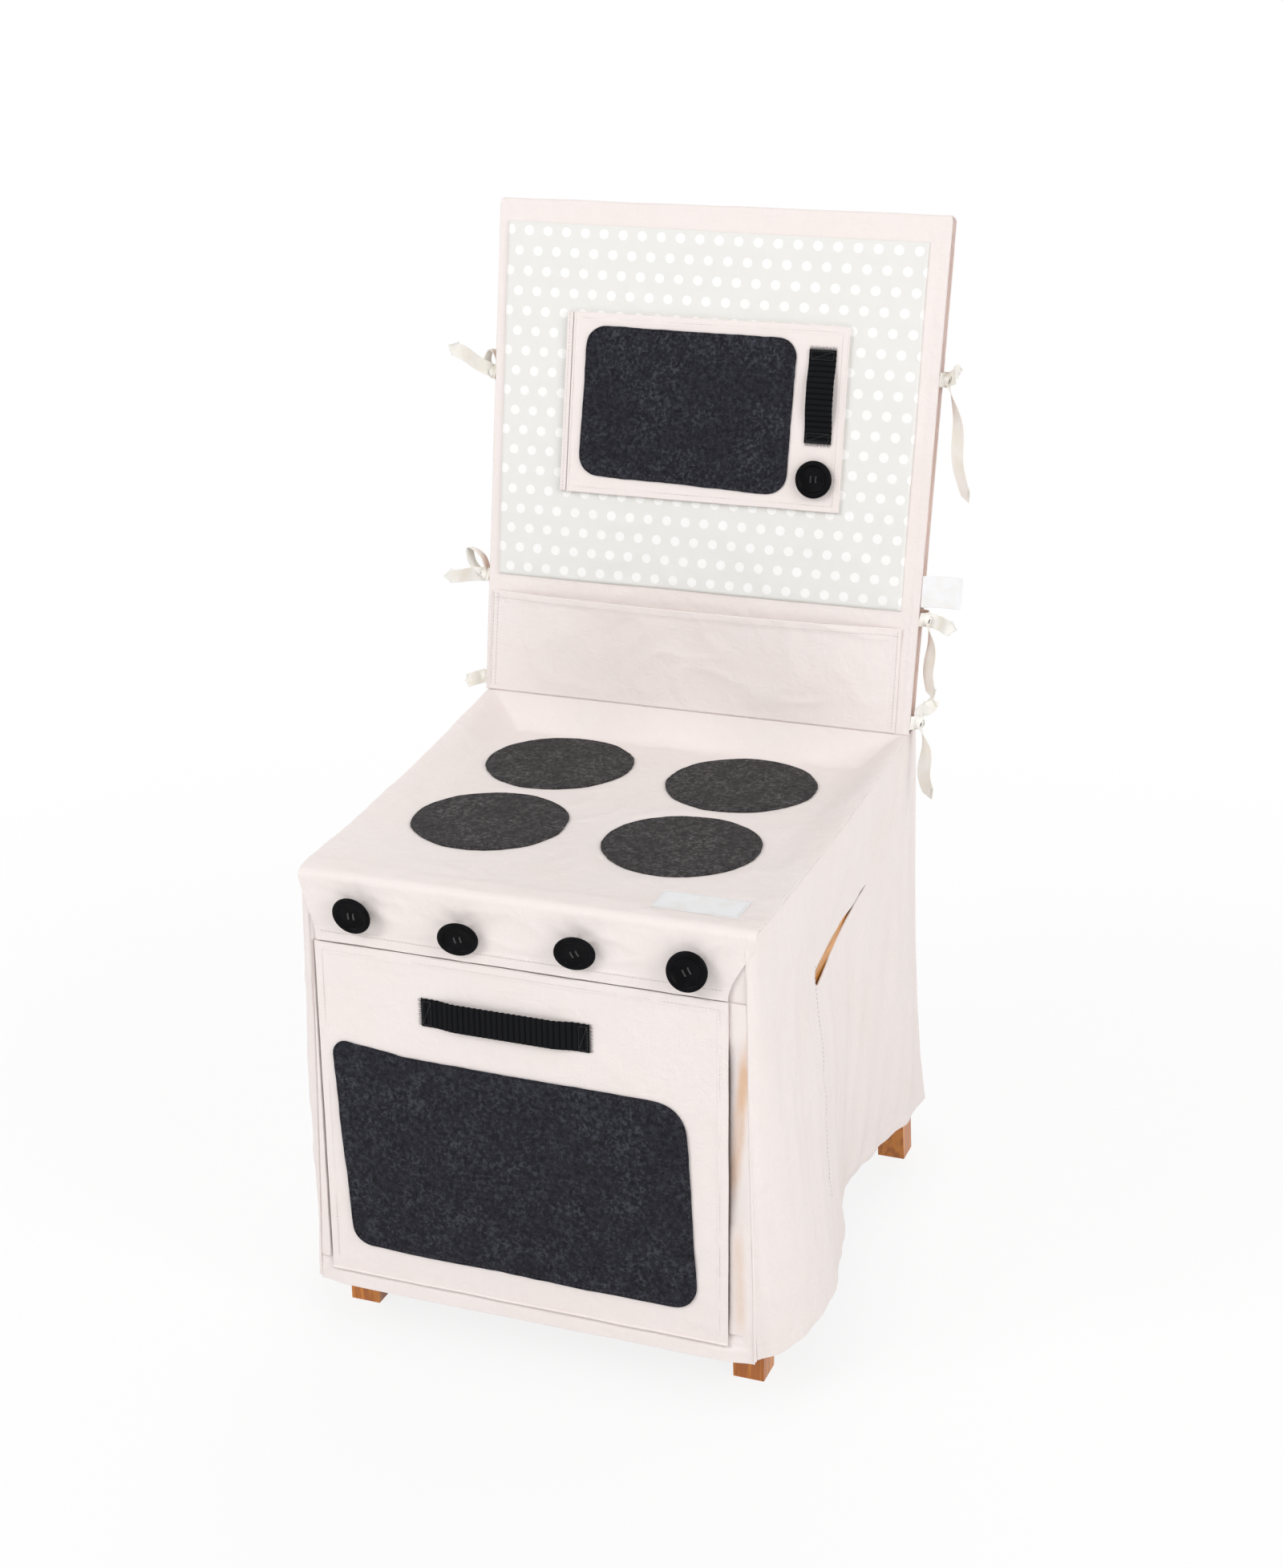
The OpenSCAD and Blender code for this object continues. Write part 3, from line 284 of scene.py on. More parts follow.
class Finish:
    """A material being made: its shader, and one method that adds any other node."""

    def __init__(self, name, **surface):
        self.material = bpy.data.materials.new(name)
        self.material.use_nodes = True
        self.tree = self.material.node_tree
        self.tree.nodes.clear()
        self.out = self.tree.nodes.new("ShaderNodeOutputMaterial")
        self.surface = self.tree.nodes.new("ShaderNodeBsdfPrincipled")
        self.put(self.out, "Surface", Sock(self.tree, self.surface.outputs[0]))
        self.set(**surface)

    def put(self, node, key, value):
        slot = node.inputs[key]
        if isinstance(value, Sock):
            self.tree.links.new(value.socket, slot)
        elif slot.type == "RGBA":
            slot.default_value = (*value, 1)
        else:
            slot.default_value = value

    def set(self, **sockets):
        for key, value in sockets.items():
            self.put(self.surface, key.replace("_", " ").title().replace("Ior", "IOR"), value)
        return self.material

    def node(self, kind, settings=None, sockets=None, output=0):
        node = self.tree.nodes.new("ShaderNode" + kind)
        for key, value in (settings or {}).items():
            setattr(node, key, value)
        for key, value in (sockets or {}).items():
            self.put(node, key, value)
        return Sock(self.tree, node.outputs[output])

    def place(self, scale=(1, 1, 1), uv=None):
        """Where a point is: on the piece's own axes in metres, or in its cut's measures."""
        point = self.node("UVMap", {"uv_map": uv}) if uv else self.node("TexCoord", output="Object")
        return self.node("VectorMath", {"operation": "MULTIPLY"}, {0: point, 1: scale})

    def cut(self):
        """Where a point is in its cut: along and across, in metres."""
        uv = self.place(uv="Cut")
        return [self.node("SeparateXYZ", None, {0: uv}, k) for k in (0, 1)]

    def noise(self, point, scale=1.0, detail=3.0, rough=0.5, twist=0.0):
        return self.node("TexNoise", None, {"Vector": point, "Scale": scale, "Detail": detail,
                                            "Roughness": rough, "Distortion": twist})

    def mix(self, a, b, share):
        return self.node("Mix", {"data_type": "RGBA"}, {0: share, 6: a, 7: b}, 2)

    def relief(self, height, depth, under=None):
        """The surface's normal, raised by a height from 0 to 1 times a depth in metres."""
        bump = {"Height": height, "Distance": depth, "Strength": 1.0}
        if under is not None:
            bump["Normal"] = under
        return self.node("Bump", None, bump)


def colour(hexes):
    """A colour as written in hex, in the linear values that the shaders take."""
    values = [int(hexes[i:i + 2], 16) / 255 for i in (1, 3, 5)]
    return tuple(v / 12.92 if v < 0.04045 else ((v + 0.055) / 1.055) ** 2.4 for v in values)


def scaled(rgb, *shares):
    """A colour times one share, or times a share for each channel."""
    return tuple(c * s for c, s in zip(rgb, shares * 3))


def shown_rays(tree):
    """1 for the rays that show the surroundings: the camera's, and mirrored and refracted ones."""
    paths = tree.nodes.new("ShaderNodeLightPath")
    camera, glossy, through_glass = (Sock(tree, paths.outputs[f"Is {kind} Ray"])
                                     for kind in ("Camera", "Glossy", "Transmission"))
    return camera.most(glossy).most(through_glass)


def canvas_finish(name, rgb, soft=1.0, fold=None, thread=0.00062):
    """Plain-woven cotton canvas: yarns over and under, slubs, and soft handling creases.

    A fold colour paints warm shade into the cloth deep inside the oven's side pleats, in bands set by the cut's
    measures: painted shade where light bounces between the folds."""
    f = Finish(name, roughness=0.86, sheen_weight=0.05, sheen_roughness=0.5, specular_ior_level=0.2)
    along, across = f.cut()
    turn = math.pi / thread
    weave = (along * turn).sin() * (across * turn).sin() * 0.5 + 0.5
    slub = sum(f.noise(f.place(stretch, "Cut"), 1, 2) * 0.5 for stretch in ((30, 900, 1), (900, 30, 1)))
    cloudy = f.noise(f.place(), 9, 4, 0.6)
    yarn = f.mix(scaled(rgb, 0.955), rgb, weave.ramp(0.15, 0.7) * 0.6 + slub.ramp(0.35, 0.65) * 0.4)
    tone = f.mix(yarn, scaled(rgb, 0.965, 0.950525, 0.93605), cloudy.ramp(0.42, 0.72) * 0.55)
    # painted shade: a warm tint in two bands of the gusset's cut, where its pleat lies in shade beside the door
    if fold:
        upper = 1 - abs(across + along * 0.124 - 0.0431).ramp(0.001, 0.0095)
        upper = upper * along.ramp(0.185, 0.24) * (1 - along.ramp(0.33, 0.37))
        lower = 1 - abs(across - 0.0125).ramp(0.001, 0.009)
        lower = lower * along.ramp(0.06, 0.1) * (1 - along.ramp(0.15, 0.2))
        patchy_shade = f.noise(f.place((60, 60, 22)), 1, 3, 0.6)
        tone = f.mix(tone, fold, (upper + lower * 0.45) * (0.55 + 0.45 * patchy_shade.ramp(0.35, 0.65)))
    crush = f.noise(f.place(), 62, 3, 0.55, 0.7)
    fine = f.relief(weave * 0.7 + slub * 0.6, 0.00022)
    return f.set(base_color=tone, normal=f.relief(crush, 0.0011 * soft, fine), roughness=0.8 + 0.12 * slub)


def dotted_finish(name, rgb, dot, left=-0.212, top=0.4675, pitch=0.0195, row=0.0194, radius=0.00475):
    """Dotted cotton: rows of pale dots, each row half a pitch along from the one above."""
    f = Finish(name, roughness=0.84, sheen_weight=0.1, specular_ior_level=0.25)
    x, y = f.cut()
    x, y = x - left, top - y
    rank = (y / row).floor()
    across = (x / pitch + (rank * 0.5).fract() + 0.5).fract() - 0.5
    down = (y / row).fract() - 0.5
    reach = ((across * pitch) ** 2.0 + (down * row) ** 2.0) ** 0.5
    inside = 1 - reach.ramp(radius - 0.00025, radius + 0.00025)
    turn = math.pi / 0.0005
    weave = (x * turn).sin() * (y * turn).sin() * 0.5 + 0.5
    ground = f.mix(scaled(rgb, 0.97), rgb, weave)
    crush = f.noise(f.place(), 40, 3, 0.5, 0.5)
    fine = f.relief(weave + inside * 0.5, 0.0002)
    return f.set(base_color=f.mix(ground, dot, inside), normal=f.relief(crush, 0.0009, fine))


def felt_finish(name, rgb, fibre, seed=0.0):
    """Wool felt: matted fibres of two tones, some lying on top, and small hollows."""
    f = Finish(name, roughness=0.95, sheen_weight=0.03, sheen_roughness=0.5, specular_ior_level=0.08)
    base = f.node("VectorMath", {"operation": "ADD"}, {0: f.place(), 1: (seed, seed, seed)})

    def hairs(stretch, scale):
        point = f.node("VectorMath", {"operation": "MULTIPLY"}, {0: base, 1: stretch})
        return f.noise(point, scale, 4, 0.65, 0.7)

    hair = hairs((1, 1, 0.35), 620).most(hairs((0.3, 1, 1), 540))
    matted = f.noise(base, 210, 4, 0.7, 0.3)
    worn = f.noise(base, 26, 3, 0.6)
    clump = f.noise(base, 260, 3, 0.7, 0.2)
    tone = f.mix(scaled(rgb, 0.5), scaled(rgb, 0.95), matted.ramp(0.36, 0.66))
    tone = f.mix(tone, fibre, clump.ramp(0.46, 0.66) * (0.12 + 0.26 * worn.ramp(0.35, 0.65)))
    tone = f.mix(tone, fibre, hair.ramp(0.58, 0.74) * (0.16 + 0.3 * worn))
    return f.set(base_color=tone, normal=f.relief(hair * 0.6 + matted + clump * 0.5, 0.0011))


def webbing_finish(name, rgb, pitch):
    """Twill webbing: slanting yarns over the cross ribs, a little worn on top, with painted shade in the
    grooves between them.
    """
    f = Finish(name, roughness=0.75, specular_ior_level=0.12)
    x, y = f.cut()
    zig = abs((y / 0.0034).fract() - 0.5) * 0.0034
    yarn = (x + zig).wave(0.0011)
    wear = f.noise(f.place(), 240, 4, 0.6)
    rib = abs((x * (math.pi / pitch)).sin())
    tone = f.mix(scaled(rgb, 0.6), scaled(rgb, 2.1), yarn * 0.6 + wear.ramp(0.45, 0.75) * 0.4)
    # painted shade: the colour darkens to a quarter in the grooves between the cross ribs
    tone = f.mix(scaled(rgb, 0.25), tone, rib.ramp(0.15, 0.75))
    return f.set(base_color=tone, normal=f.relief(yarn + wear * 0.4, 0.00035), roughness=0.62 + 0.25 * wear)


def tape_finish(name, rgb, loops):
    """Hook tape's rows of stubs, or loop tape's tangled pile."""
    f = Finish(name, roughness=0.8, sheen_weight=0.3 if loops else 0.0)
    if loops:
        pile = f.noise(f.place(), 900, 4, 0.7, 2.5)
    else:
        pile = 1 - f.node("TexVoronoi", None, {"Vector": f.place(), "Scale": 640.0}).ramp(0.1, 0.5)
    return f.set(base_color=f.mix(scaled(rgb, 0.75), rgb, pile), normal=f.relief(pile, 0.0006))


def ribbon_finish(name, rgb):
    """Cotton tape: fine ribs along it, closer at the edges, with a soft shine."""
    f = Finish(name, roughness=0.6, sheen_weight=0.2, specular_ior_level=0.35)
    x, y = f.cut()
    slant, rib = (x + y).wave(0.0012), x.wave(0.0007)
    warm = f.noise(f.place(), 60, 3).ramp(0.35, 0.6)
    tone = f.mix(scaled(rgb, 0.94, 0.9118, 0.846), rgb, slant * 0.35 + warm * 0.65)
    return f.set(base_color=tone, normal=f.relief(slant * 0.6 + rib * 0.4, 0.00025))


def thread_finish(name, rgb, twist=1400.0):
    """Twisted sewing thread."""
    f = Finish(name, roughness=0.6, sheen_weight=0.2)
    turns = {"Vector": f.place(), "Scale": twist, "Distortion": 1.0}
    ply = f.node("TexWave", {"bands_direction": "DIAGONAL"}, turns, 1)
    return f.set(base_color=f.mix(scaled(rgb, 0.7), scaled(rgb, 1.15), ply), normal=f.relief(ply, 0.0002))


def button_finish(name, rgb):
    """Moulded button plastic: a soft gloss with fine scuffs and a faint cloudiness."""
    f = Finish(name, roughness=0.34, specular_ior_level=0.05)
    scuff = f.noise(f.place(), 420, 5, 0.75, 0.4)
    cloud = f.noise(f.place(), 90, 3)
    return f.set(base_color=f.mix(scaled(rgb, 0.75), scaled(rgb, 1.5), cloud.ramp(0.35, 0.7)),
                 roughness=0.26 + 0.26 * scuff.ramp(0.35, 0.75), normal=f.relief(scuff, 0.00006))


def wood_finish(name, pale, deep, along):
    """Varnished wood whose grain runs along one axis: 0 for x, 1 for y, 2 for z."""
    f = Finish(name, roughness=0.42, coat_weight=0.25, coat_roughness=0.35)

    def grain(across, lengthwise):
        return f.place(tuple(lengthwise if k == along else across for k in range(3)))

    ring = f.noise(grain(26.0, 1.6), 1.0, 5, 0.6, 0.9)
    rings = ((ring * 46).sin() * 0.5 + 0.5) * 0.5 + ring * 0.5
    pore = f.noise(grain(900.0, 30.0), 1.0, 2)
    figure = f.noise(f.place(), 11, 3, 0.5, 0.6)
    tone = f.mix(deep, pale, rings.ramp(0.2, 0.85) * 0.7 + figure * 0.3)
    tone = f.mix(tone, scaled(deep, 0.45), pore.ramp(0.62, 0.75) * 0.6)
    return f.set(base_color=tone, roughness=0.34 + 0.2 * pore,
                 normal=f.relief(1 - pore.ramp(0.6, 0.75), 0.00012))


def steel_finish(name, rgb):
    """Plated screw steel, with turning marks."""
    f = Finish(name, roughness=0.35, metallic=1.0)
    mark = f.noise(f.place((1, 1, 6)), 900, 3)
    return f.set(base_color=f.mix(scaled(rgb, 0.7), rgb, mark), roughness=0.25 + 0.25 * mark)


def floor_finish(name, rgb):
    """Pale studio paper: it keeps the object's soft shadow, and shows white to the camera."""
    f = Finish(name, roughness=0.9, specular_ior_level=0.0)
    f.set(base_color=f.mix(scaled(rgb, 0.985), rgb, f.noise(f.place(), 220, 2)))
    away = f.node("VectorMath", {"operation": "LENGTH"}, {0: f.place()}, 1).ramp(0.5, 1.8)
    blend = {0: shown_rays(f.tree) * (away * 0.15 + 0.85), 1: Sock(f.tree, f.surface.outputs[0]),
             2: f.node("Emission")}
    f.put(f.out, "Surface", f.node("MixShader", None, blend))
    return f.material


FINISHES = {}  # each finish's name: its material, and the record's material slot that it stands for

# --------------------------------------------------------------------- mesh builders


def new_piece(name, verts, faces, cut, look=None, body=None, nodes=(), sharp=48, slot=None):
    """A mesh object of points in millimetres, with its cut's measures in metres as a UV map.

    It wears a finish, rides on a body, and stands for CAD nodes."""
    mesh = bpy.data.meshes.new(name)
    mesh.from_pydata(world(verts).tolist(), [], [list(map(int, f)) for f in faces])
    if cut is not None:
        layer = mesh.uv_layers.new(name="Cut")
        corners = np.zeros(len(mesh.loops), np.int32)
        mesh.loops.foreach_get("vertex_index", corners)
        layer.data.foreach_set("uv", (np.asarray(cut, float)[corners] * 0.001).astype(np.float32).ravel())
    work = bmesh.new()
    work.from_mesh(mesh)
    bmesh.ops.recalc_face_normals(work, faces=work.faces)
    work.to_mesh(mesh)
    work.free()
    mesh.shade_smooth()
    mesh.set_sharp_from_angle(angle=math.radians(sharp))
    piece = bpy.data.objects.new(name, mesh)
    bpy.context.scene.collection.objects.link(piece)
    if look:
        mesh.materials.append(FINISHES[look][0])
        slot or FINISHES[look][1]
    if body:
        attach(piece, body)
    if nodes:
        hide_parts(*nodes)
    return piece


def repaint(look, *nodes):
    """Gives CAD parts a finish, and returns them."""
    parts = [frame["nodes"][node] for node in nodes]
    for part in parts:
        part.data.materials.clear()
        part.data.materials.append(FINISHES[look][0])
    return parts


def normals(grid, towards):
    """Unit normals of a grid of points, on the side that a direction shows."""
    n = unit(np.cross(np.gradient(grid, axis=0), np.gradient(grid, axis=1)))
    return n if (n @ np.asarray(towards, float)).mean() > 0 else -n


def lengths(grid, axis=0):
    """How far each point of a line or a grid lies along its own line of it."""
    steps = np.linalg.norm(np.diff(grid, axis=axis), axis=-1)
    return np.insert(np.cumsum(steps, axis=axis), 0, 0, axis=axis)


def at_runs(runs, far, points):
    """Points, or directions, at given runs along a line whose own points lie far along it."""
    return np.stack([np.interp(runs, far, column) for column in points.T], -1)


def closed(ring):
    return np.concatenate([ring, ring[:1]])


def sideways(ring):
    """Unit directions across a closed flat outline."""
    way = unit(np.roll(ring, -1, 0) - np.roll(ring, 1, 0))
    return np.stack([way[:, 1], -way[:, 0]], -1)


def bands(rings, around, base=0, caps=True):
    """Faces of rings of points, each joined to the next all the way round, with both ends closed."""
    faces = [(base + r * around + i, base + r * around + (i + 1) % around,
              base + (r + 1) * around + (i + 1) % around, base + (r + 1) * around + i)
             for r in range(rings - 1) for i in range(around)]
    if caps:
        last = base + (rings - 1) * around
        faces += [tuple(range(base + around - 1, base - 1, -1)), tuple(range(last, last + around))]
    return faces


def cloth(name, outer, thick, towards, look, body=None, nodes=(), cut=None, round_edge=0.45):
    """Closed cloth whose outer face is a grid of points: its rim is rounded, its back is inside it."""
    rows, cols = outer.shape[:2]
    n = normals(outer, towards)
    inner = outer - n * thick
    edge = [(0, j) for j in range(cols)] + [(i, cols - 1) for i in range(1, rows)]
    edge += [(rows - 1, j) for j in range(cols - 2, -1, -1)] + [(i, 0) for i in range(rows - 2, 0, -1)]
    ei, ej = np.array(edge).T
    inward = unit(outer[np.clip(ei, 1, rows - 2), np.clip(ej, 1, cols - 2)] - outer[ei, ej])
    rim = outer[ei, ej] - n[ei, ej] * thick / 2
    outer = outer.copy()
    for face in (outer, inner):
        face[ei, ej] += inward * min(round_edge * thick, 0.6)
    count = rows * cols
    ids = np.arange(count).reshape(rows, cols)
    quads = stack(ids[:-1, :-1], ids[:-1, 1:], ids[1:, 1:])
    quads = np.concatenate([quads, ids[1:, :-1, None]], -1).reshape(-1, 4)
    loop, k = ids[ei, ej], np.arange(len(edge))
    after, k_after = np.roll(loop, -1), np.roll(k, -1)
    faces = np.concatenate([quads, quads[:, ::-1] + count,
                            np.stack([loop, after, 2 * count + k_after, 2 * count + k], -1),
                            np.stack([2 * count + k, 2 * count + k_after, count + after, count + loop], -1)])
    if cut is None:
        cut = np.stack([lengths(outer, 0), lengths(outer, 1)], -1)
    flat = cut.reshape(-1, 2)
    verts = np.concatenate([outer.reshape(-1, 3), inner.reshape(-1, 3), rim])
    return new_piece(name, verts, faces, np.concatenate([flat, flat, flat[loop]]), look, body, nodes)


def declare(grid, with_pieces=()):
    """Works out the size that a cloth was cut to, its longest runs and the area of its face, and keeps neither.
    """
    flat = (round(lengths(grid, 0)[-1].max() * 1e-3, 4), round(lengths(grid, 1)[:, -1].max() * 1e-3, 4))
    a, b, c, d = grid[:-1, :-1], grid[:-1, 1:], grid[1:, 1:], grid[1:, :-1]
    area = sum(np.linalg.norm(np.cross(v, w), axis=-1).sum() for v, w in ((b - a, c - a), (c - a, d - a))) / 2


def stitches(name, lines, body="root", pitch=3.4, length=2.5, width=0.6, look="pale_thread"):
    """Rows of sewn stitches. Each line is its points and the way that its cloth faces there."""
    spots, runs, ups = [], [], []
    for points, facing in lines:
        points = np.asarray(points, float)
        facing = np.broadcast_to(np.asarray(facing, float), points.shape)
        far = lengths(points)
        count = max(1, int(far[-1] / pitch))
        at = (np.arange(count) + 0.5) * far[-1] / count
        spots.append(at_runs(at, far, points))
        runs.append(unit(at_runs(at + 0.8, far, points) - at_runs(at - 0.8, far, points)))
        ups.append(at_runs(at, far, facing))
    spots, runs, ups = np.concatenate(spots), np.concatenate(runs), np.concatenate(ups)
    side = unit(np.cross(runs, ups))
    ups = np.cross(side, runs)
    verts = []
    for place, size, lift in ((-0.5, 0.35, -0.25), (-0.3, 0.9, 0.1), (0.3, 0.9, 0.1), (0.5, 0.35, -0.25)):
        for turn in np.arange(6) * math.pi / 3:
            verts.append(spots + runs * place * length + side * math.cos(turn) * width / 2 * size
                         + ups * (math.sin(turn) * width / 2 * size + lift * width))
    faces = [face for k in range(len(spots)) for face in bands(4, 6, 24 * k)]
    return new_piece(name, np.stack(verts, 1).reshape(-1, 3), faces, None, look, body, sharp=180)


def rounded(corners, radii, fray, seed, step=3.0):
    """Outline through corners with round corners, evenly stepped, its edge wandering by fray."""
    points, count = [], len(corners)
    for i, radius in enumerate(np.broadcast_to(radii, count)):
        a, p, b = (np.array(corners[(i + k) % count], float) for k in (-1, 0, 1))
        u, v = unit(a - p), unit(b - p)
        half = math.acos(float(u @ v)) / 2
        start, end = p + u * radius / math.tan(half), p + v * radius / math.tan(half)
        middle = p + unit(u + v) * radius / math.sin(half)
        arc = lerp(start - middle, end - middle, np.linspace(0, 1, 9)[:, None])
        points.append(middle + unit(arc) * radius)
    return wander(np.concatenate(points), step, fray, seed)


def wander(points, step, fray, seed):
    """Closed outline at even steps, moved in and out as a hand-cut edge is."""
    far = lengths(closed(points))
    count = int(far[-1] / step)
    share = np.arange(count) / count
    out = at_runs(share * far[-1], far, closed(points))
    u, v = np.cos(share * 2 * np.pi), np.sin(share * 2 * np.pi)
    wobble = 0.75 * ripple(u * 3.1 + 9, v * 3.1 + 4, seed) + 0.35 * ripple(u * 11 + 5, v * 11 + 9, seed)
    return out + sideways(out) * (wobble * fray)[:, None]


def felt_patch(name, node, outline, place, look, body, stitch_in=2.8, dome=0.0, seed=0):
    """Felt cut to an outline and sewn down round its edge. place(points, height) sets it down."""
    middle = outline.mean(0)
    inward = -sideways(outline)
    if ((middle - outline) * inward).sum() < 0:
        inward = -inward
    profile = [(0.5, 0), (0.1, 0.35), (0, 0.7), (0.35, 0.93), (1.1, 1), (stitch_in - 0.9, 0.98),
               (stitch_in, 0.62), (stitch_in + 0.9, 0.97), (stitch_in + 2.4, 1)]
    rings = [outline + inward * offset for offset, _ in profile]
    heights = [np.full(len(outline), height * FELT) for _, height in profile]
    last = rings[-1]
    steps = max(4, int(np.linalg.norm(last - middle, axis=1).mean() / 5))
    for k in range(1, steps):
        ring = lerp(last, middle, k / steps)
        rings.append(ring)
        heights.append(FELT + dome * smooth(k / steps * 3)
                       + 0.12 * ripple(ring[:, 0] / 14, ring[:, 1] / 14, seed + 3))
    flat = np.concatenate(rings + [middle[None], middle[None]])
    lift = np.concatenate(heights + [[FELT + dome], [0]])
    n, count = len(outline), len(rings)
    last_ring, top, low = (count - 1) * n, count * n, count * n + 1
    faces = bands(count, n, caps=False)
    for i in range(n):
        j = (i + 1) % n
        faces += [(last_ring + i, last_ring + j, top), (j, i, low)]
    piece = new_piece(name, place(flat, lift), faces, flat, look, body, (node,))
    line = closed(outline + inward * stitch_in)
    facing = place(line, np.ones(len(line))) - place(line, np.zeros(len(line)))
    sewn = stitches(name + "_stitches", [(place(line, np.full(len(line), 0.72 * FELT)), facing)], body,
                    4.4, 3.0, 0.7, "felt_thread")


def tube(name, path, radius, look, body="root", sides=10):
    """Rolled seam along a path."""
    path = np.asarray(path, float)
    radius = np.broadcast_to(np.asarray(radius, float), len(path))
    ahead = unit(np.gradient(path, axis=0))
    side = unit(np.cross(ahead, (0.13, 0.2, 0.97)))
    up = np.cross(side, ahead)
    turn = (np.arange(sides) * 2 * np.pi / sides)[:, None]
    verts = path[:, None] + radius[:, None, None] * (side[:, None] * np.cos(turn) + up[:, None] * np.sin(turn))
    cut = np.stack(spread(lengths(path), turn[:, 0] * radius.mean()), -1).reshape(-1, 2)
    return new_piece(name, verts.reshape(-1, 3), bands(len(path), sides), cut, look, body)


def rim_line(place, box, inset, lift, sides="lrtb"):
    """Lines for stitches, an inset from a panel's edges. The box is its left, right, low and top."""
    left, right, low, top = box[0] + inset, box[1] - inset, box[2] + inset, box[3] - inset
    ends = {"l": (left, low, left, top), "r": (right, low, right, top),
            "b": (left, low, right, low), "t": (left, top, right, top)}
    lines, share = [], np.linspace(0, 1, 60)
    for x0, y0, x1, y1 in (ends[side] for side in sides):
        a, b = lerp(x0, x1, share), lerp(y0, y1, share)
        points = place(a, b, lift)
        lines.append((points, place(a, b, lift + 1.0) - points))
    return lines


# ------------------------------------------------------------------ the user's sizes


LENGTH = {"unit": "LENGTH", "subtype": "DISTANCE"}
TINT = {"size": 3, "min": 0, "max": 1, "subtype": "COLOR"}


class CoverSizes(bpy.types.PropertyGroup):
    crumple: FloatProperty(name="Crumple", default=1.0, min=0.0, max=1.5,
                           description="How strongly the cloth is creased, where 1 is as photographed")
    hem_width: FloatProperty(name="Hem width", description="Width of the turned hems",
                             default=0.009, min=0.004, max=0.015, **LENGTH)
    stitch_pitch: FloatProperty(name="Stitch pitch", description="Distance from one stitch to the next",
                                default=0.0034, min=0.002, max=0.006, **LENGTH)
    rib_pitch: FloatProperty(name="Rib pitch", description="Distance between the cross ribs of the webbing",
                             default=0.0053, min=0.003, max=0.009, **LENGTH)
    felt_fray: FloatProperty(name="Felt edge", description="How far the hand-cut felt edges wander",
                             default=0.0012, min=0.0, max=0.003, **LENGTH)


class CoverColours(bpy.types.PropertyGroup):
    canvas: FloatVectorProperty(name="Canvas", description="Colour of the cotton canvas",
                                default=colour("#F0E7E4"), **TINT)
    dotted: FloatVectorProperty(name="Dotted cotton", description="Ground colour of the dotted panel",
                                default=colour("#EDECE8"), **TINT)
    felt: FloatVectorProperty(name="Window felt", description="Colour of the two felt windows",
                              default=colour("#2B2B32"), **TINT)
    burner_felt: FloatVectorProperty(name="Burner felt", description="Colour of the four felt burners",
                                     default=colour("#403D3E"), **TINT)
    webbing: FloatVectorProperty(name="Webbing", description="Colour of the two handles",
                                 default=colour("#121316"), **TINT)
    button: FloatVectorProperty(name="Buttons", description="Colour of the five buttons",
                                default=colour("#0C0C0E"), **TINT)
    ribbon: FloatVectorProperty(name="Ribbon", description="Colour of the six ties",
                                default=colour("#FBF9F5"), **TINT)
    wood: FloatVectorProperty(name="Chair wood", description="Pale tone of the chair's varnished wood",
                              default=colour("#DD8E3A"), **TINT)


class LightSettings(bpy.types.PropertyGroup):
    key: FloatProperty(name="Key lamp", description="Power of the large lamp at the front left", default=127.0,
                       min=0.0, unit="POWER")
    fill: FloatProperty(name="Fill lamp", description="Power of the lamp at the right", default=104.0, min=0.0,
                        unit="POWER")
    sky: FloatProperty(name="Surrounding light", description="Strength of the even light from all round",
                       default=0.64, min=0.0, max=2.0)


# ------------------------------------------------------------------ stage and chair


class OVEN_OT_stage(bpy.types.Operator):
    """Makes the camera at the photograph's place, the lamps, the pale floor and every finish"""

    bl_idname = "play_oven.stage"
    bl_label = "Stage and finishes"
    bl_options = {"REGISTER", "UNDO"}

    def execute(self, context):
        set_stage(context.scene)
        return {"FINISHED"}


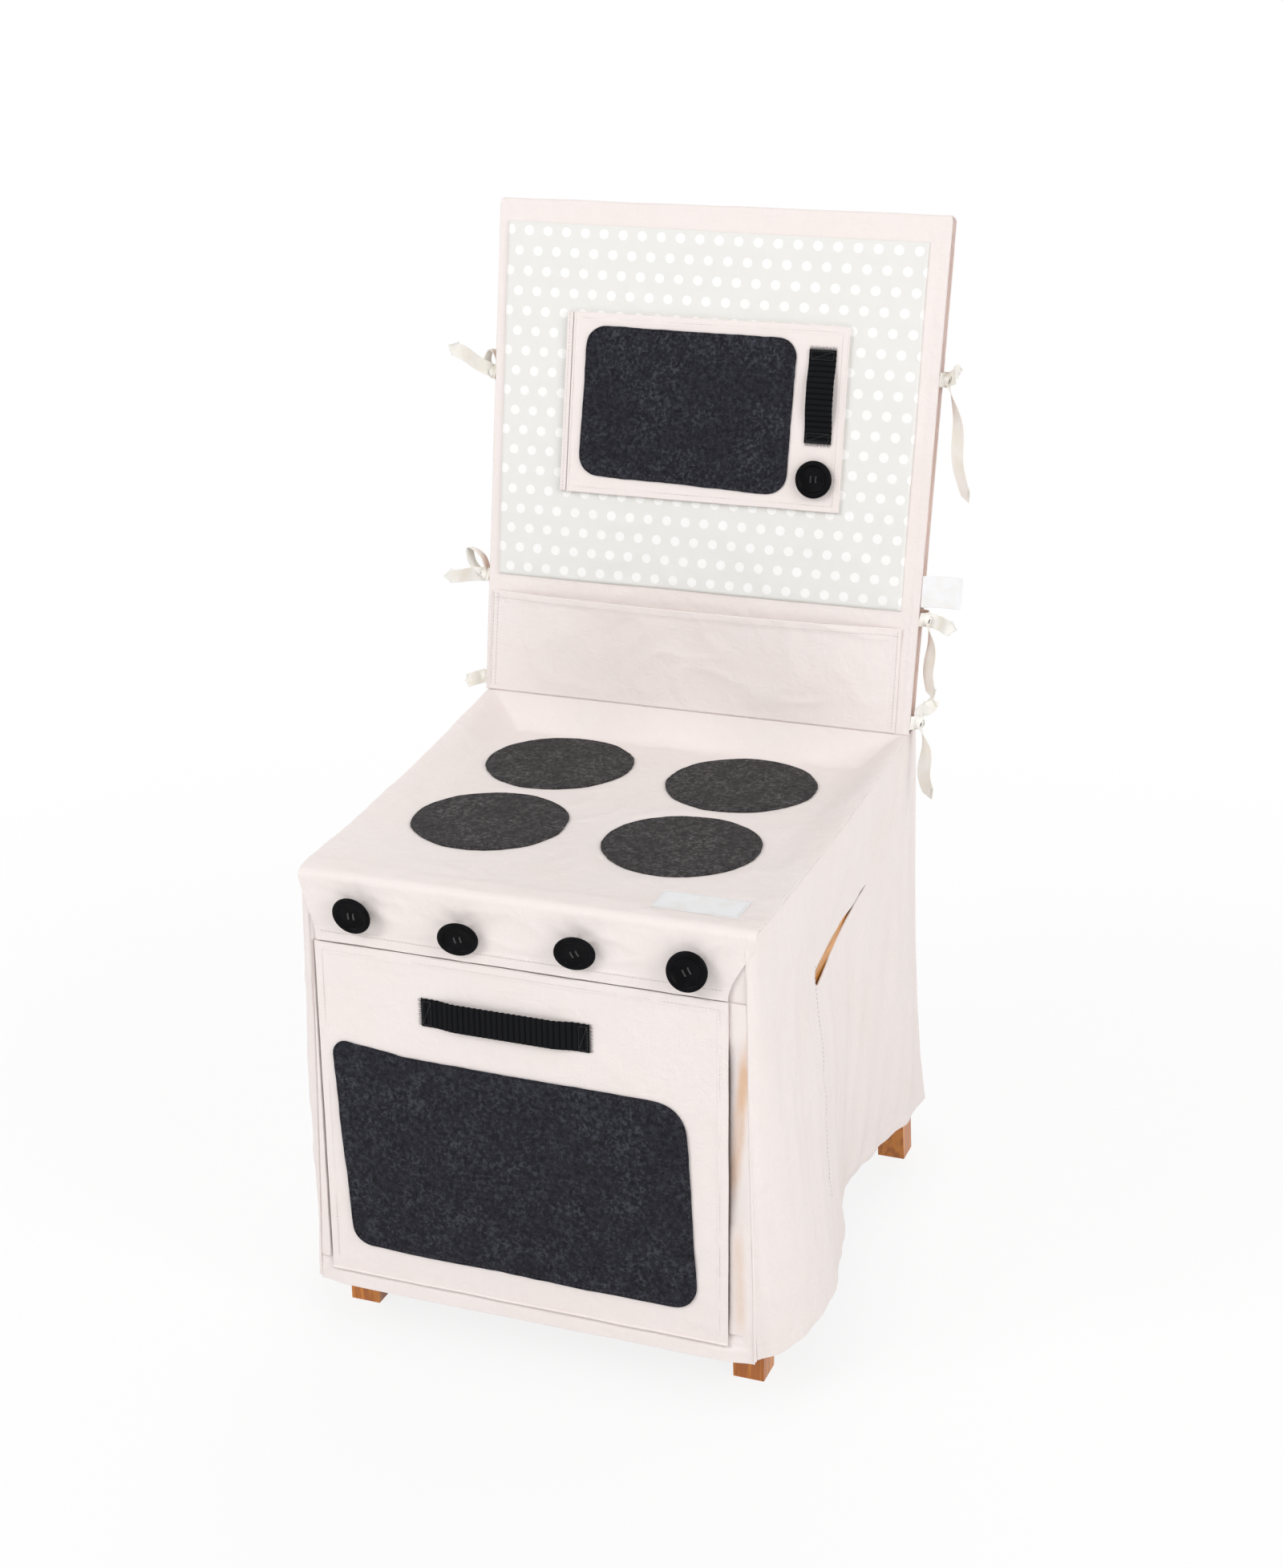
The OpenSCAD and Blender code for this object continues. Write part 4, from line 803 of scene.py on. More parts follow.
def set_stage(scene):
    light, tone = scene.play_oven_light, scene.play_oven_colours

    def add(name, data, place, turn):
        thing = bpy.data.objects.new(name, data)
        scene.collection.objects.link(thing)
        thing.matrix_world = Matrix.Translation(place) @ turn.to_4x4()
        return thing

    right, up = Vector(CAMERA_RIGHT), Vector(CAMERA_UP)
    lens = bpy.data.cameras.new("camera")
    lens.sensor_fit, lens.sensor_height, lens.sensor_width = "VERTICAL", CAMERA_SENSOR, CAMERA_SENSOR
    lens.lens, lens.clip_start, lens.clip_end = CAMERA_LENS, 0.1, 30
    scene.camera = add("camera", lens, CAMERA_AT, Matrix((right, up, right.cross(up))).transposed())
    scene.view_settings.view_transform = "Standard"

    scene.world = bpy.data.worlds.new("studio")
    scene.world.use_nodes = True
    tree = scene.world.node_tree
    tree.nodes.clear()
    back = tree.nodes.new("ShaderNodeBackground")
    back.inputs["Color"].default_value = (1, 1, 1, 1)
    tree.links.new((shown_rays(tree) * (1 - light.sky) + light.sky).socket, back.inputs["Strength"])
    tree.links.new(back.outputs[0], tree.nodes.new("ShaderNodeOutputWorld").inputs["Surface"])

    for name, place, power, size in (("key_lamp", (-3.2, -4.2, 3.7), light.key, 2.6),
                                     ("fill_lamp", (4.3, -2.2, 2.7), light.fill, 2.9),
                                     ("rear_lamp", (-1.2, 4.6, 2.9), light.fill * 0.6, 2.9)):
        lamp = bpy.data.lights.new(name, "AREA")
        lamp.energy, lamp.size = power, size
        way = Vector((0, 0, 0.45)) - Vector(place)
        add(name, lamp, place, way.to_track_quat("-Z", "Y").to_matrix())

    mesh = bpy.data.meshes.new("floor")
    signs = ((-1, -1), (1, -1), (1, 1), (-1, 1))
    mesh.from_pydata([(x * FLOOR_REACH, y * FLOOR_REACH, 0) for x, y in signs], [], [(0, 1, 2, 3)])
    mesh.materials.append(floor_finish("studio_floor", (0.86, 0.86, 0.86)))
    add("floor", mesh, (0, 0, 0), Matrix.Identity(3))

    canvas, wood, deep_wood = tuple(tone.canvas), tuple(tone.wood), colour("#A85C20")
    rib = scene.play_oven_sizes.rib_pitch
    FINISHES.update({
        "canvas": (canvas_finish("canvas", canvas), "canvas"),
        "canvas_flat": (canvas_finish("canvas_flat", canvas, 0.5), "canvas"),
        # the right gusset's canvas, with warm painted shade in its pleat
        "canvas_painted_shade": (canvas_finish("canvas_painted_shade", canvas, 0.8, colour("#DEBB9E")), "canvas"),
        "dotted": (dotted_finish("dotted_cotton", tuple(tone.dotted), colour("#FAFAF8")), "dotted_canvas"),
        "window_felt": (felt_finish("window_felt", tuple(tone.felt), colour("#60616B")), "window_felt"),
        "burner_felt": (felt_finish("burner_felt", tuple(tone.burner_felt), colour("#8D8788"), 3.0),
                        "burner_felt"),
        "webbing": (webbing_finish("webbing", tuple(tone.webbing), rib), "webbing"),
        "button": (button_finish("button_black", tuple(tone.button)), "button"),
        "black_thread": (thread_finish("black_thread", colour("#1B1B1E")), "thread"),
        "felt_thread": (thread_finish("felt_thread", colour("#232327")), "thread"),
        "pale_thread": (thread_finish("pale_thread", scaled(canvas, 0.93)), "thread"),
        "ribbon": (ribbon_finish("ribbon", tuple(tone.ribbon)), "ribbon"),
        "label": (ribbon_finish("label_satin", colour("#F5F6F9")), "label"),
        "hook_tape": (tape_finish("hook_tape", colour("#D8D3CA"), False), "tape"),
        "loop_tape": (tape_finish("loop_tape", colour("#EAE5DD"), True), "tape"),
        "steel": (steel_finish("screw_steel", colour("#9A9CA0")), "steel"),
        "wood_x": (wood_finish("wood_across", wood, deep_wood, 0), "wood"),
        # painted light: a paler, yellower copy of the wood for the side rails, which show in shade through the
        # slits
        "wood_pale_lit_copy": (wood_finish("wood_pale_lit_copy", colour("#DB9848"), colour("#B97A2E"), 1), "wood"),
        "wood_z": (wood_finish("wood_upright", wood, deep_wood, 2), "wood"),
    })


class OVEN_OT_chair(bpy.types.Operator):
    """Finishes the chair's own parts: varnished wood with eased arrises, and plated screws"""

    bl_idname = "play_oven.chair"
    bl_label = "Chair"
    bl_options = {"REGISTER", "UNDO"}

    def execute(self, context):
        finish_chair()
        return {"FINISHED"}


def finish_chair():
    wood = repaint("wood_x", "seat_board", "front_rail", "rear_rail", "top_rail", "lower_back_rail",
                   "corner_blocks")
    # the side rails get the paler copy of the wood: painted light where they show through the shaded slits
    wood += repaint("wood_pale_lit_copy", "side_rail_left", "side_rail_right")
    wood += repaint("wood_z", "front_leg_left", "front_leg_right", "rear_post_left", "rear_post_right",
                    "back_slats")
    for part in wood:
        ease = part.modifiers.new("eased_edges", "BEVEL")
        ease.width, ease.segments, ease.limit_method = 0.0016, 2, "ANGLE"
        ease.angle_limit = math.radians(35)
    repaint("steel", "seat_screws")


# ------------------------------------------------------------------- hob and fascia


def half_at(y):
    return lerp(FRONT_HALF, REAR_HALF, np.clip(y / SEAM_Y, 0, 1))


def side_rise(y):
    """How far the hob's sides stand up at a depth."""
    return (BACK_Z - HOB_Z) * np.clip(y / SEAM_Y, 0, 1) ** 1.7


def hob_height(x, y):
    back = (BACK_Z - HOB_Z) * np.clip((y - 396) / 32, 0, 1) ** 2
    edge = smooth((np.abs(x) - 173) / (half_at(y) - 173))
    return HOB_Z + np.maximum(back, edge * side_rise(y))


class OVEN_OT_hob(bpy.types.Operator):
    """Sews the hob cloth with its fascia, four felt burners and a bare label"""

    bl_idname = "play_oven.hob"
    bl_label = "Hob"
    bl_options = {"REGISTER", "UNDO"}

    def execute(self, context):
        sew_hob(context.scene)
        return {"FINISHED"}


def sew_hob(scene):
    sizes = scene.play_oven_sizes
    drop = np.concatenate([[392, 392.5, 393.5, 395, 397, 399.5, 401.5, 402.5, 403.3, 404.2, 405.5, 407.5],
                           np.linspace(410, FOLD_Z, 17)])
    turn = np.radians(np.linspace(8, 90, 10))
    deep = np.concatenate([np.linspace(10, 396, 122), np.linspace(398, SEAM_Y, 14)])
    y = np.concatenate([np.zeros(len(drop)), HOB_EDGE * (1 - np.cos(turn)), deep])
    z = np.concatenate([drop, FOLD_Z + HOB_EDGE * np.sin(turn), np.full(len(deep), HOB_Z)])
    run = lengths(np.stack([y, z], -1))[:, None]
    u = graded(2.0, 0.016, fine=(0, 0.003, 0.008, 0.016)) - 1
    (y, u), (z, _) = spread(y, u), spread(z, u)
    low = smooth((FOLD_Z - z) / (FOLD_Z - FASCIA_Z))
    x = u * np.where(y > HOB_EDGE, half_at(y), lerp(FRONT_HALF, 192, low ** 0.8)) + SHIFT * low
    z = np.where(y > HOB_EDGE, hob_height(x, y), z)
    grid = np.stack([x, y, z], -1)
    out = normals(grid, (0, -0.3, 1))

    top = smooth((y - 6) / 8)
    clear = np.ones_like(x)
    for bx, by in BURNERS.values():
        clear = np.minimum(clear, smooth((np.hypot(x - bx, y - by) - BURNER_R - 1) / 12))
    label = smooth((np.maximum(np.abs(x - 149) - 39, np.abs(y - 40.5) - 18.5) - 1) / 8)
    swell = (1.2 * creases(x / 64 + 3, y / 92, 11) + np.clip(ripple(x / 46, y / 60, 5), 0, 1)
             + 0.35 * creases(x / 22, y / 30, 31))
    swell = swell * top * clear * label * (1 - 0.6 * smooth((y - 395) / 20))
    roll = 1.3 * bell(run - 84 - 5 * ripple(x / 120, 0, 2), 5) * (0.5 + 0.5 * ripple(x / 90, 1, 8)) * label
    pull = np.zeros_like(x)
    for n, (kx, kz) in enumerate(KNOBS):
        far = np.hypot(x - kx, z - kz) + 0.001
        ray = (0.5 + 0.5 * np.cos(6 * np.arctan2(z - kz, x - kx) + 1.7 * n + 0.8)) ** 2
        pull += (1 - top) * 2.6 * ray * np.exp(-far / 22) * smooth(far / 8)
    sag = (1 - top) * (1.1 * creases(x / 62, z / 34, 17) + 0.9 * ripple(x / 88, z / 40, 23))
    sag = sag * smooth((z - 400) / 12) * smooth((452 - z) / 12)
    turned_up = np.where(y < 2, hem(z - FASCIA_Z, 11, 0.8), 0)
    grid += out * (sizes.crumple * (swell + roll + pull + np.maximum(sag, -0.4)) + turned_up)[..., None]
    grid[..., 2] += 0.5 * ripple(x / 60, 3, 4) * (1 - smooth((z - FASCIA_Z) / 30)) * (y < 2)
    piece = cloth("hob_cloth", grid, CANVAS, (0, -0.3, 1), "canvas", "root", ("hob_panel", "control_fascia"))
    row = int(np.argmin(np.abs(drop - 401.5)))
    facing = out[row, 4:-4]
    seam = stitches("fascia_stitches", [(grid[row, 4:-4] + facing * 0.1, facing)], "root",
                    sizes.stitch_pitch * 1000)
    declare(grid, [seam])

    turn = np.linspace(0, 2 * np.pi, 160, endpoint=False)
    for n, (node, (bx, by)) in enumerate(BURNERS.items()):
        ring = BURNER_R * np.stack([np.cos(turn), np.sin(turn)], -1)
        ring = wander(ring * (1 - 0.006 * np.cos(3 * turn + n))[:, None], 2.8, sizes.felt_fray * 1100, 40 + n)
        felt_patch(node + "_felt", node, ring, lambda p, h: stack(p[:, 0] + bx, p[:, 1] + by, HOB_Z + h),
                   "burner_felt", "root", seed=60 + n)

    def on_hob(x, y, h):
        return stack(x, y, hob_height(x, y) + 0.15 + h)

    a, b = spread(np.linspace(*LABEL[:2], 40), np.linspace(*LABEL[2:], 20))
    grid = on_hob(a, b, 0.5 + 0.3 * np.abs(ripple(a / 24, b / 22, 3)))
    tag = cloth("hob_label_woven", grid, 0.5, (0, 0, 1), "label", "root", ("hob_label",))
    sewn = stitches("hob_label_stitches", rim_line(on_hob, LABEL, 1.8, 0.62), "root", 2.2, 1.5, 0.35)
    declare(grid, [sewn])


# ---------------------------------------------------------------------------- skirts


def on_line(line, z):
    heights, depths = zip(*line)
    return np.interp(z, heights, depths)


def rear_skirt_y(z):
    return on_line(REAR_LINE, z)


def corner_seam_x(z):
    return lerp(203, 213, np.clip((HOB_Z - z) / (HOB_Z - HEM_Z), 0, 1) ** 1.35)


def corner_seam_y(z):
    return lerp(lerp(1.2, 3.2, smooth((z - 60) / 60)), 1.7, smooth((z - 400) / 30))


def front_skirt_y(x, z):
    u = np.abs(x) / (corner_seam_x(z) - 1.4)
    return lerp(on_line(POCKET_LINE, z - DOOR_Z), corner_seam_y(z), smooth((u - 0.87) / 0.13))


def side_point(u, t):
    """A side skirt's point: u from the front to the rear, t from the hob's edge to the hem."""
    top, low = through(SIDE_TOP, u), through(SIDE_HEM, u)
    top_y = lerp(0.4, rear_skirt_y(HOB_Z), top[..., 1])
    under = HOB_Z - CANVAS - 0.3
    top_z = np.where(top_y < HOB_EDGE, lerp(FOLD_Z - 0.5, under, np.clip(top_y / HOB_EDGE, 0, 1)),
                     under + side_rise(top_y))
    z = lerp(top_z, HEM_Z, t)
    plan = lerp(top, low, (t ** 1.35)[..., None])
    return np.stack([plan[..., 0], lerp(0.4, rear_skirt_y(z) - 1.9, plan[..., 1]), z], -1)


def slit_seam_y(z):
    """Depth of the side skirts' seam, which runs down from the slit's low end."""
    return SLIT_LOW[0] + (SLIT_LOW[1] - z) * 0.03


def cut_slit(piece, side):
    """Cuts the slant, bowed slit out of a side skirt for good."""
    low, high = np.array(SLIT_LOW, float), np.array(SLIT_HIGH, float)
    along = high - low
    across = unit(np.array([-along[1], along[0]]))
    t = np.linspace(0, 1, 25)[:, None]
    half = np.interp(t, [0, 0.015, 0.05, 0.3, 0.6, 0.84, 0.93, 1], [3.6, 8.0, 9.4, 8.4, 5.2, 1.3, 1.7, 1.0])
    bow = 4 * np.sin(np.pi * t)
    upper, lower = (low + along * t + across * (way * half - bow) for way in (1, -1))
    ring = np.concatenate([upper, lower[::-1]])
    verts = np.concatenate([np.column_stack([np.full(len(ring), side * x), ring]) for x in (190, 262)])
    knife = new_piece("slit_knife", verts, bands(2, len(ring)), None)
    tool = piece.modifiers.new("slit", "BOOLEAN")
    tool.operation, tool.object, tool.solver = "DIFFERENCE", knife, "EXACT"
    bpy.context.view_layer.update()
    made = bpy.data.meshes.new_from_object(piece.evaluated_get(bpy.context.evaluated_depsgraph_get()))
    piece.modifiers.clear()
    old, piece.data = piece.data, made
    bpy.data.meshes.remove(old)
    bpy.data.objects.remove(knife)


class OVEN_OT_skirts(bpy.types.Operator):
    """Hangs the backing panel, the two slit side skirts and the rear skirt"""

    bl_idname = "play_oven.skirts"
    bl_label = "Skirts"
    bl_options = {"REGISTER", "UNDO"}

    def execute(self, context):
        hang_skirts(context.scene)
        return {"FINISHED"}


def hang_skirts(scene):
    crumple = scene.play_oven_sizes.crumple
    z = np.concatenate([[46, 46.5, 47.5, 49, 51, 53, 55, 56, 57, 57.8, 58.6, 59.3, 59.9, 60.7, 61.5, 63, 64.5,
                         67, 70, 74, 79, 86, 94, 103],
                        np.linspace(112, 325, 50), np.linspace(328, 366, 20), np.linspace(369, 437.5, 20)])
    fine = (0, 0.002, 0.006, 0.012, 0.02, 0.03, 0.045, 0.06, 0.08, 0.1, 0.12, 0.14)
    u, z = spread(graded(2.0, 0.02, fine) - 1, z)
    x = u * (corner_seam_x(z) - 0.9)
    y = front_skirt_y(x, z) - crumple * smooth((62 - z) / 6) * 0.5 * (0.6 + ripple(x / 40, z / 30, 3))
    y = y - 1.1 * smooth((-197 - x) / 3) * smooth((z - 382) / 10)
    grid = np.stack([x, y, z + 0.6 * ripple(x / 55, 2, 6) * smooth((60 - z) / 14)], -1)
    piece = cloth("backing_panel", grid, CANVAS, (0, -1, 0), "canvas", "root", ("front_skirt",))
    declare(grid)
    for side, name, seed in ((-1, "left", 26), (1, "right", 5)):
        side_skirt(side, name, seed, crumple)

    u, t = spread(np.linspace(-1, 1, 110), np.linspace(0, 1, 90))
    z = lerp(HEM_Z, BACK_Z, 1 - t)
    wave = 7 * t ** 1.6 * (1 - u * u) * np.cos(np.radians(540 * u))
    fine = 1.3 * ripple(u * 7, z / 200, 51) * t + 0.8 * creases(u * 4, z / 80, 52)
    fine = fine * crumple * (1 - u ** 8) * smooth(t / 0.1)
    grid = np.stack([u * lerp(218, 221, t), rear_skirt_y(z) + wave + fine, z], -1)
    grid += normals(grid, (0, 1, 0)) * (hem((1 - t) * 440) * (t > 0.9))[..., None]
    piece = cloth("rear_skirt_cloth", grid, CANVAS, (0, 1, 0), "canvas", "root", ("rear_skirt",))
    declare(grid)


def side_skirt(side, name, seed, crumple):
    """Hangs one side skirt, cuts its slit, and sews its corner seams, its top seam and its long seam."""
    fall = np.concatenate([np.linspace(0, 0.955, 110), np.linspace(0.96, 1, 16)])
    u, t = spread(np.linspace(0, 1, 150) ** 1.12, fall)
    grid = side_point(u, t) * (side, 1, 1)
    out = normals(grid, (side, 0, 0))
    deep, high = grid[..., 1], grid[..., 2]
    ease = smooth(t / 0.12) * smooth((u - 0.01) / 0.06) * smooth((0.995 - u) / 0.06)
    slit = bell(deep - 225, 120) * bell(high - 346, 54)
    folds = 2.6 * ripple(deep / 52, high / 320, seed) + 1.5 * ripple(deep / 21, high / 170, seed + 1)
    soft = 1.1 * creases(deep / 90, high / 120, seed + 2) - 0.7 * creases(deep / 70 + 4, high / 90, seed + 3)
    gather = 0.4 * ripple(deep / 9, high / 60, seed + 4) * np.exp(-t / 0.08)
    seam = -0.9 * bell(deep - slit_seam_y(high), 1.6) * smooth((335 - high) / 10)
    lift = crumple * (ease * (folds * (0.45 + 0.9 * t) + soft) * (1 - 0.7 * slit) + gather) + seam - slit * 8.5
    grid = grid + out * (lift + hem((1 - t) * 400) * (t > 0.9))[..., None]
    piece = cloth(f"side_skirt_{name}_cloth", grid, CANVAS, (side, 0, 0), "canvas",
                  nodes=(f"side_skirt_{name}",))
    cut_slit(piece, side)
    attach(piece, "root")
    declare(grid)

    z = np.linspace(50, 441, 90)
    seams = [("front", corner_seam_x(z) - 0.3, corner_seam_y(z) - 0.5, z)]
    z = np.linspace(50, 486, 90)
    seams.append(("rear", lerp(220.6, 218.4, (z - HEM_Z) / 440), rear_skirt_y(z) - 1.2, z))
    for place, x, y, z in seams:
        tube(f"corner_seam_{name}_{place}", stack(side * x, y + 0.2 * ripple(z / 30, 4, 61), z), 1.35, "canvas")
    y = np.linspace(9, 426, 100)
    tube(f"hob_seam_{name}", stack(side * (half_at(y) - 0.3), y, HOB_Z - 1.7 + side_rise(y)), 1.2, "canvas")
    columns = grid[:, 30:96].swapaxes(0, 1)
    line = [[np.interp(slit_seam_y(column[0, 2]), column[:, 1], column[:, k]) for k in range(3)]
            for column in columns]
    stitches(f"side_skirt_{name}_stitches", [(np.array(line) + (side * 0.1, 0, 0), (side, 0, 0))], "root",
             4.4, 2.6, 0.7)


# ------------------------------------------------------------------------- oven door


def strap(name, node, place, length, pitch, body, width=27, gap=3.6, foot=11.0, rest=1.8):
    """A webbing handle with cross ribs and a finger gap. Its ends are sewn and frayed.

    place(a, b, height) sets it on its panel."""
    a = np.arange(0, length + 0.01, 0.55)
    b = np.concatenate([[0, 0.4, 1.0], np.linspace(2, width - 2, 22), [width - 1.0, width - 0.4, width]])
    a, b = spread(a * length / a[-1], b)
    ribs = max(1, round(length / pitch))
    rib = np.abs(np.sin(np.pi * ribs * a / length)) ** 0.7
    selvage = 1 - 0.5 * smooth((1.2 - np.minimum(b, width - b)) / 1.2)
    lift = gap * smooth((length / 2 - foot - np.abs(a - length / 2)) / 24)
    height = lift + rest + (rib - 0.45) * selvage
    outer = place(a, b, height)
    towards = (place(a, b, height + 1) - outer).mean((0, 1))
    cloth(name, outer, WEB, towards, "webbing", body, (node,), cut=np.stack([a * ribs * pitch / length, b], -1))

    lines = []
    for x0 in (2.0, length - 10.0):
        x1, y0, y1 = x0 + 8, 2.5, width - 2.5
        corners = np.array([(x0, y0), (x1, y0), (x1, y1), (x0, y1), (x0, y0), (x1, y1)])
        p, q = at_runs(np.linspace(0, 5, 60), np.arange(6), corners).T
        points = place(p, q, 2.35)
        lines.append((points, place(p, q, 3.35) - points))
    stitches(name + "_stitches", lines, body, 2.6, 2.1, 0.55, "black_thread")

    verts, faces = [], []
    for end, way, x0 in ((0, -1, 0.3), (1, 1, length - 0.3)):
        for k in range(46):
            faces += bands(3, 3, len(verts))
            y0 = 0.6 + (width - 1.2) * (k + 0.3 * math.sin(k * 7.3)) / 45
            reach, rise = 1.4 + 2.0 * abs(math.sin(k * 5.1 + end)), 0.4 + abs(math.sin(k * 3.7))
            for f in (0, 0.5, 1):
                r = 0.16 * (1 - 0.55 * f)
                centre = np.array([x0 + way * reach * f, y0 + 0.9 * math.sin(k * 9.7) * f * f,
                                   rise + 0.3 * math.sin(k + 2 * f)])
                verts += [centre + (0, -r, -r), centre + (0, r, -r), centre + (0, 0, r)]
    new_piece(name + "_frayed_ends", place(*np.array(verts).T), faces, None, "black_thread", body, sharp=180,
              slot="webbing")


def on_door(x, z, h):
    return stack(np.asarray(x, float), DOOR_FRONT - h, np.asarray(z, float))


class OVEN_OT_oven_door(bpy.types.Operator):
    """Sews the oven door with its felt window, webbing handle, closure tapes and side gussets"""

    bl_idname = "play_oven.oven_door"
    bl_label = "Oven door"
    bl_options = {"REGISTER", "UNDO"}

    def execute(self, context):
        sew_oven_door(context.scene)
        return {"FINISHED"}


def sew_oven_door(scene):
    sizes = scene.play_oven_sizes
    wide = sizes.hem_width * 1000
    x, z = spread(graded(DOOR_RIGHT - DOOR_LEFT, 3.6) + DOOR_LEFT, graded(DOOR_TOP - DOOR_Z, 3.6) + DOOR_Z)
    near = np.minimum(np.minimum(x - DOOR_LEFT, DOOR_RIGHT - x), DOOR_TOP - z)
    handle = smooth((np.abs(x + 16) - 76) / 8 + smooth((np.abs(z - 338) - 12) / 8))
    soft = 0.5 * (creases(x / 58, z / 66, 71) + 0.8 * ripple(x / 46, z / 52, 72)) * smooth(near / 10) * handle
    lift = hem(near, wide, 0.4) + sizes.crumple * soft
    wave = 0.9 * ripple(z / 60, 5, 73) * smooth((z - 80) / 60) * smooth((np.abs(x - SHIFT) - 150) / 43)
    rise = 0.5 * ripple(x / 70, 8, 74) * smooth((z - 340) / 50)
    grid = stack(x + wave, DOOR_FRONT - np.clip(lift, -0.25, 1.4), z + rise)
    piece = cloth("oven_door_panel", grid, 2.2, (0, -1, 0), "canvas", "oven_door", ("oven_door",))
    t = np.linspace(0, 1, 90)
    path = stack(lerp(DOOR_LEFT + 0.3, DOOR_RIGHT - 0.3, t), -1.9 + 0.15 * np.sin(t * 40),
                 DOOR_Z + 0.2 * np.sin(t * 23))
    piping = tube("oven_door_seam", path, 1.6 + 0.08 * np.sin(t * 90), "canvas_flat", "oven_door")
    rim = rim_line(on_door, (DOOR_LEFT, DOOR_RIGHT, DOOR_Z, DOOR_TOP), wide - 1.6, 0.3, "lrt")
    seam = stitches("oven_door_stitches", rim, "oven_door", sizes.stitch_pitch * 1000, 2.4, 0.5)
    declare(grid, [seam, piping])

    corners = [(-173, 92.5), (161, 90.5), (156, 190), (149, 289.5), (-20, 290), (-118, 291.5), (-186, 299.5)]
    felt_patch("oven_window_felt", "oven_window",
               rounded(corners, [19, 22, 60, 30, 60, 60, 14], sizes.felt_fray * 1000, 81),
               lambda p, h: on_door(p[:, 0], p[:, 1], h + 0.35 * smooth(h)), "window_felt", "oven_door",
               3.2, 0.35, 82)
    strap("oven_handle_webbing", "oven_handle", lambda p, q, h: on_door(-95.5 + p, 325 + q, h), 159,
          sizes.rib_pitch * 1000, "oven_door")
    repaint("loop_tape", "closure_loop_tape")
    repaint("hook_tape", "closure_hook_tape")
    gusset(-1, "left", -DOOR_LEFT, "canvas")
    # the right gusset wears the canvas with warm painted shade in its pleat
    gusset(1, "right", DOOR_RIGHT, "canvas_painted_shade")


def gusset(side, name, edge, look):
    """Folds one bellows pleat: in behind the door to a fold, back along the pocket, and out to the corner."""
    z = np.concatenate([np.linspace(72, 380, 60), np.linspace(382, DOOR_TOP - 1, 5)])[:, None]
    fold = edge - lerp(12, 84, (z - DOOR_Z) / (DOOR_TOP - DOOR_Z))
    corner = corner_seam_x(z) - 1.4
    front = DOOR_BACK + 0.3

    def wall(x):
        return np.maximum(front_skirt_y(x, z) - 0.6, front + 1.4)

    inwards = lerp(edge - 1, fold + 3, np.linspace(0, 1, 14))
    bend = fold + np.array([1.0, 0, 0, 1.0])
    back = lerp(fold + 3, edge - 6, np.linspace(0, 1, 12))
    last = lerp(edge - 5, corner, np.linspace(0, 1, 26))
    outwards = front_skirt_y(last, z) - 0.7
    if side > 0:  # the photographed side: rumpled, and standing forward beside the door
        rumple = 1.5 * ripple(last / 13, z / 46, 77) * smooth((last - edge + 4) / 4)
        rumple = rumple * smooth((corner - last) / 5)
        near = np.maximum(0.5, 0.85 * np.maximum(smooth((205 - z) / 40), smooth((z - 335) / 25)))
        outwards = lerp(outwards + np.minimum(rumple, 0.5), 1.3, near * smooth((last - edge + 5) / 6))
    else:
        flush = smooth((last - edge - 1.2) / 1.5) * smooth((corner - last) / 2.5)
        outwards = lerp(outwards, -0.7, flush)
    x = np.concatenate([inwards, bend, back, last], 1)
    y = np.concatenate([np.full_like(inwards, front), lerp(front, wall(fold), np.array([0.1, 0.35, 0.65, 0.9])),
                        wall(back), outwards], 1)
    grid = stack(side * x, y, z)
    far = lengths(grid, 1)
    piece = cloth(f"gusset_{name}_cloth", grid, 0.6, (0, -1, 0), look, nodes=(f"gusset_{name}",),
                  cut=np.stack([grid[..., 2], far[:, -1:] - far], -1))
    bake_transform(piece)
    declare(grid)


# -------------------------------------------------------------------- back and sleeve


def sleeve_half(s):
    """Half the sleeve's width at a height up the back."""
    return lerp(222, 228, s / 487)


class OVEN_OT_back(bpy.types.Operator):
    """Sews the sleeve over the chair's back, the dotted panel, the utensil pocket and a bare side tag"""

    bl_idname = "play_oven.back"
    bl_label = "Back"
    bl_options = {"REGISTER", "UNDO"}

    def execute(self, context):
        sew_back(context.scene)
        return {"FINISHED"}


def sew_back(scene):
    sizes = scene.play_oven_sizes
    sleeve(sizes.crumple)
    dotted_panel(sizes.crumple)
    utensil_pocket(sizes.crumple, sizes.stitch_pitch * 1000)

    a, b = spread(np.linspace(0, 38, 20), np.linspace(0, 30, 16))
    cos, sin = math.cos(math.radians(12)), math.sin(math.radians(12))
    sway = np.sin(a / 38 * 2.6) * smooth(a / 20)
    grid = on_back(224 + a * cos - sway * sin, 0.4 + a * sin + sway * cos, 124 + b + 0.8 * np.sin(a / 12))
    tag = cloth("side_tag_woven", grid, 0.8, (0, -1, 0), "label", "root", ("side_tag",))
    declare(grid)


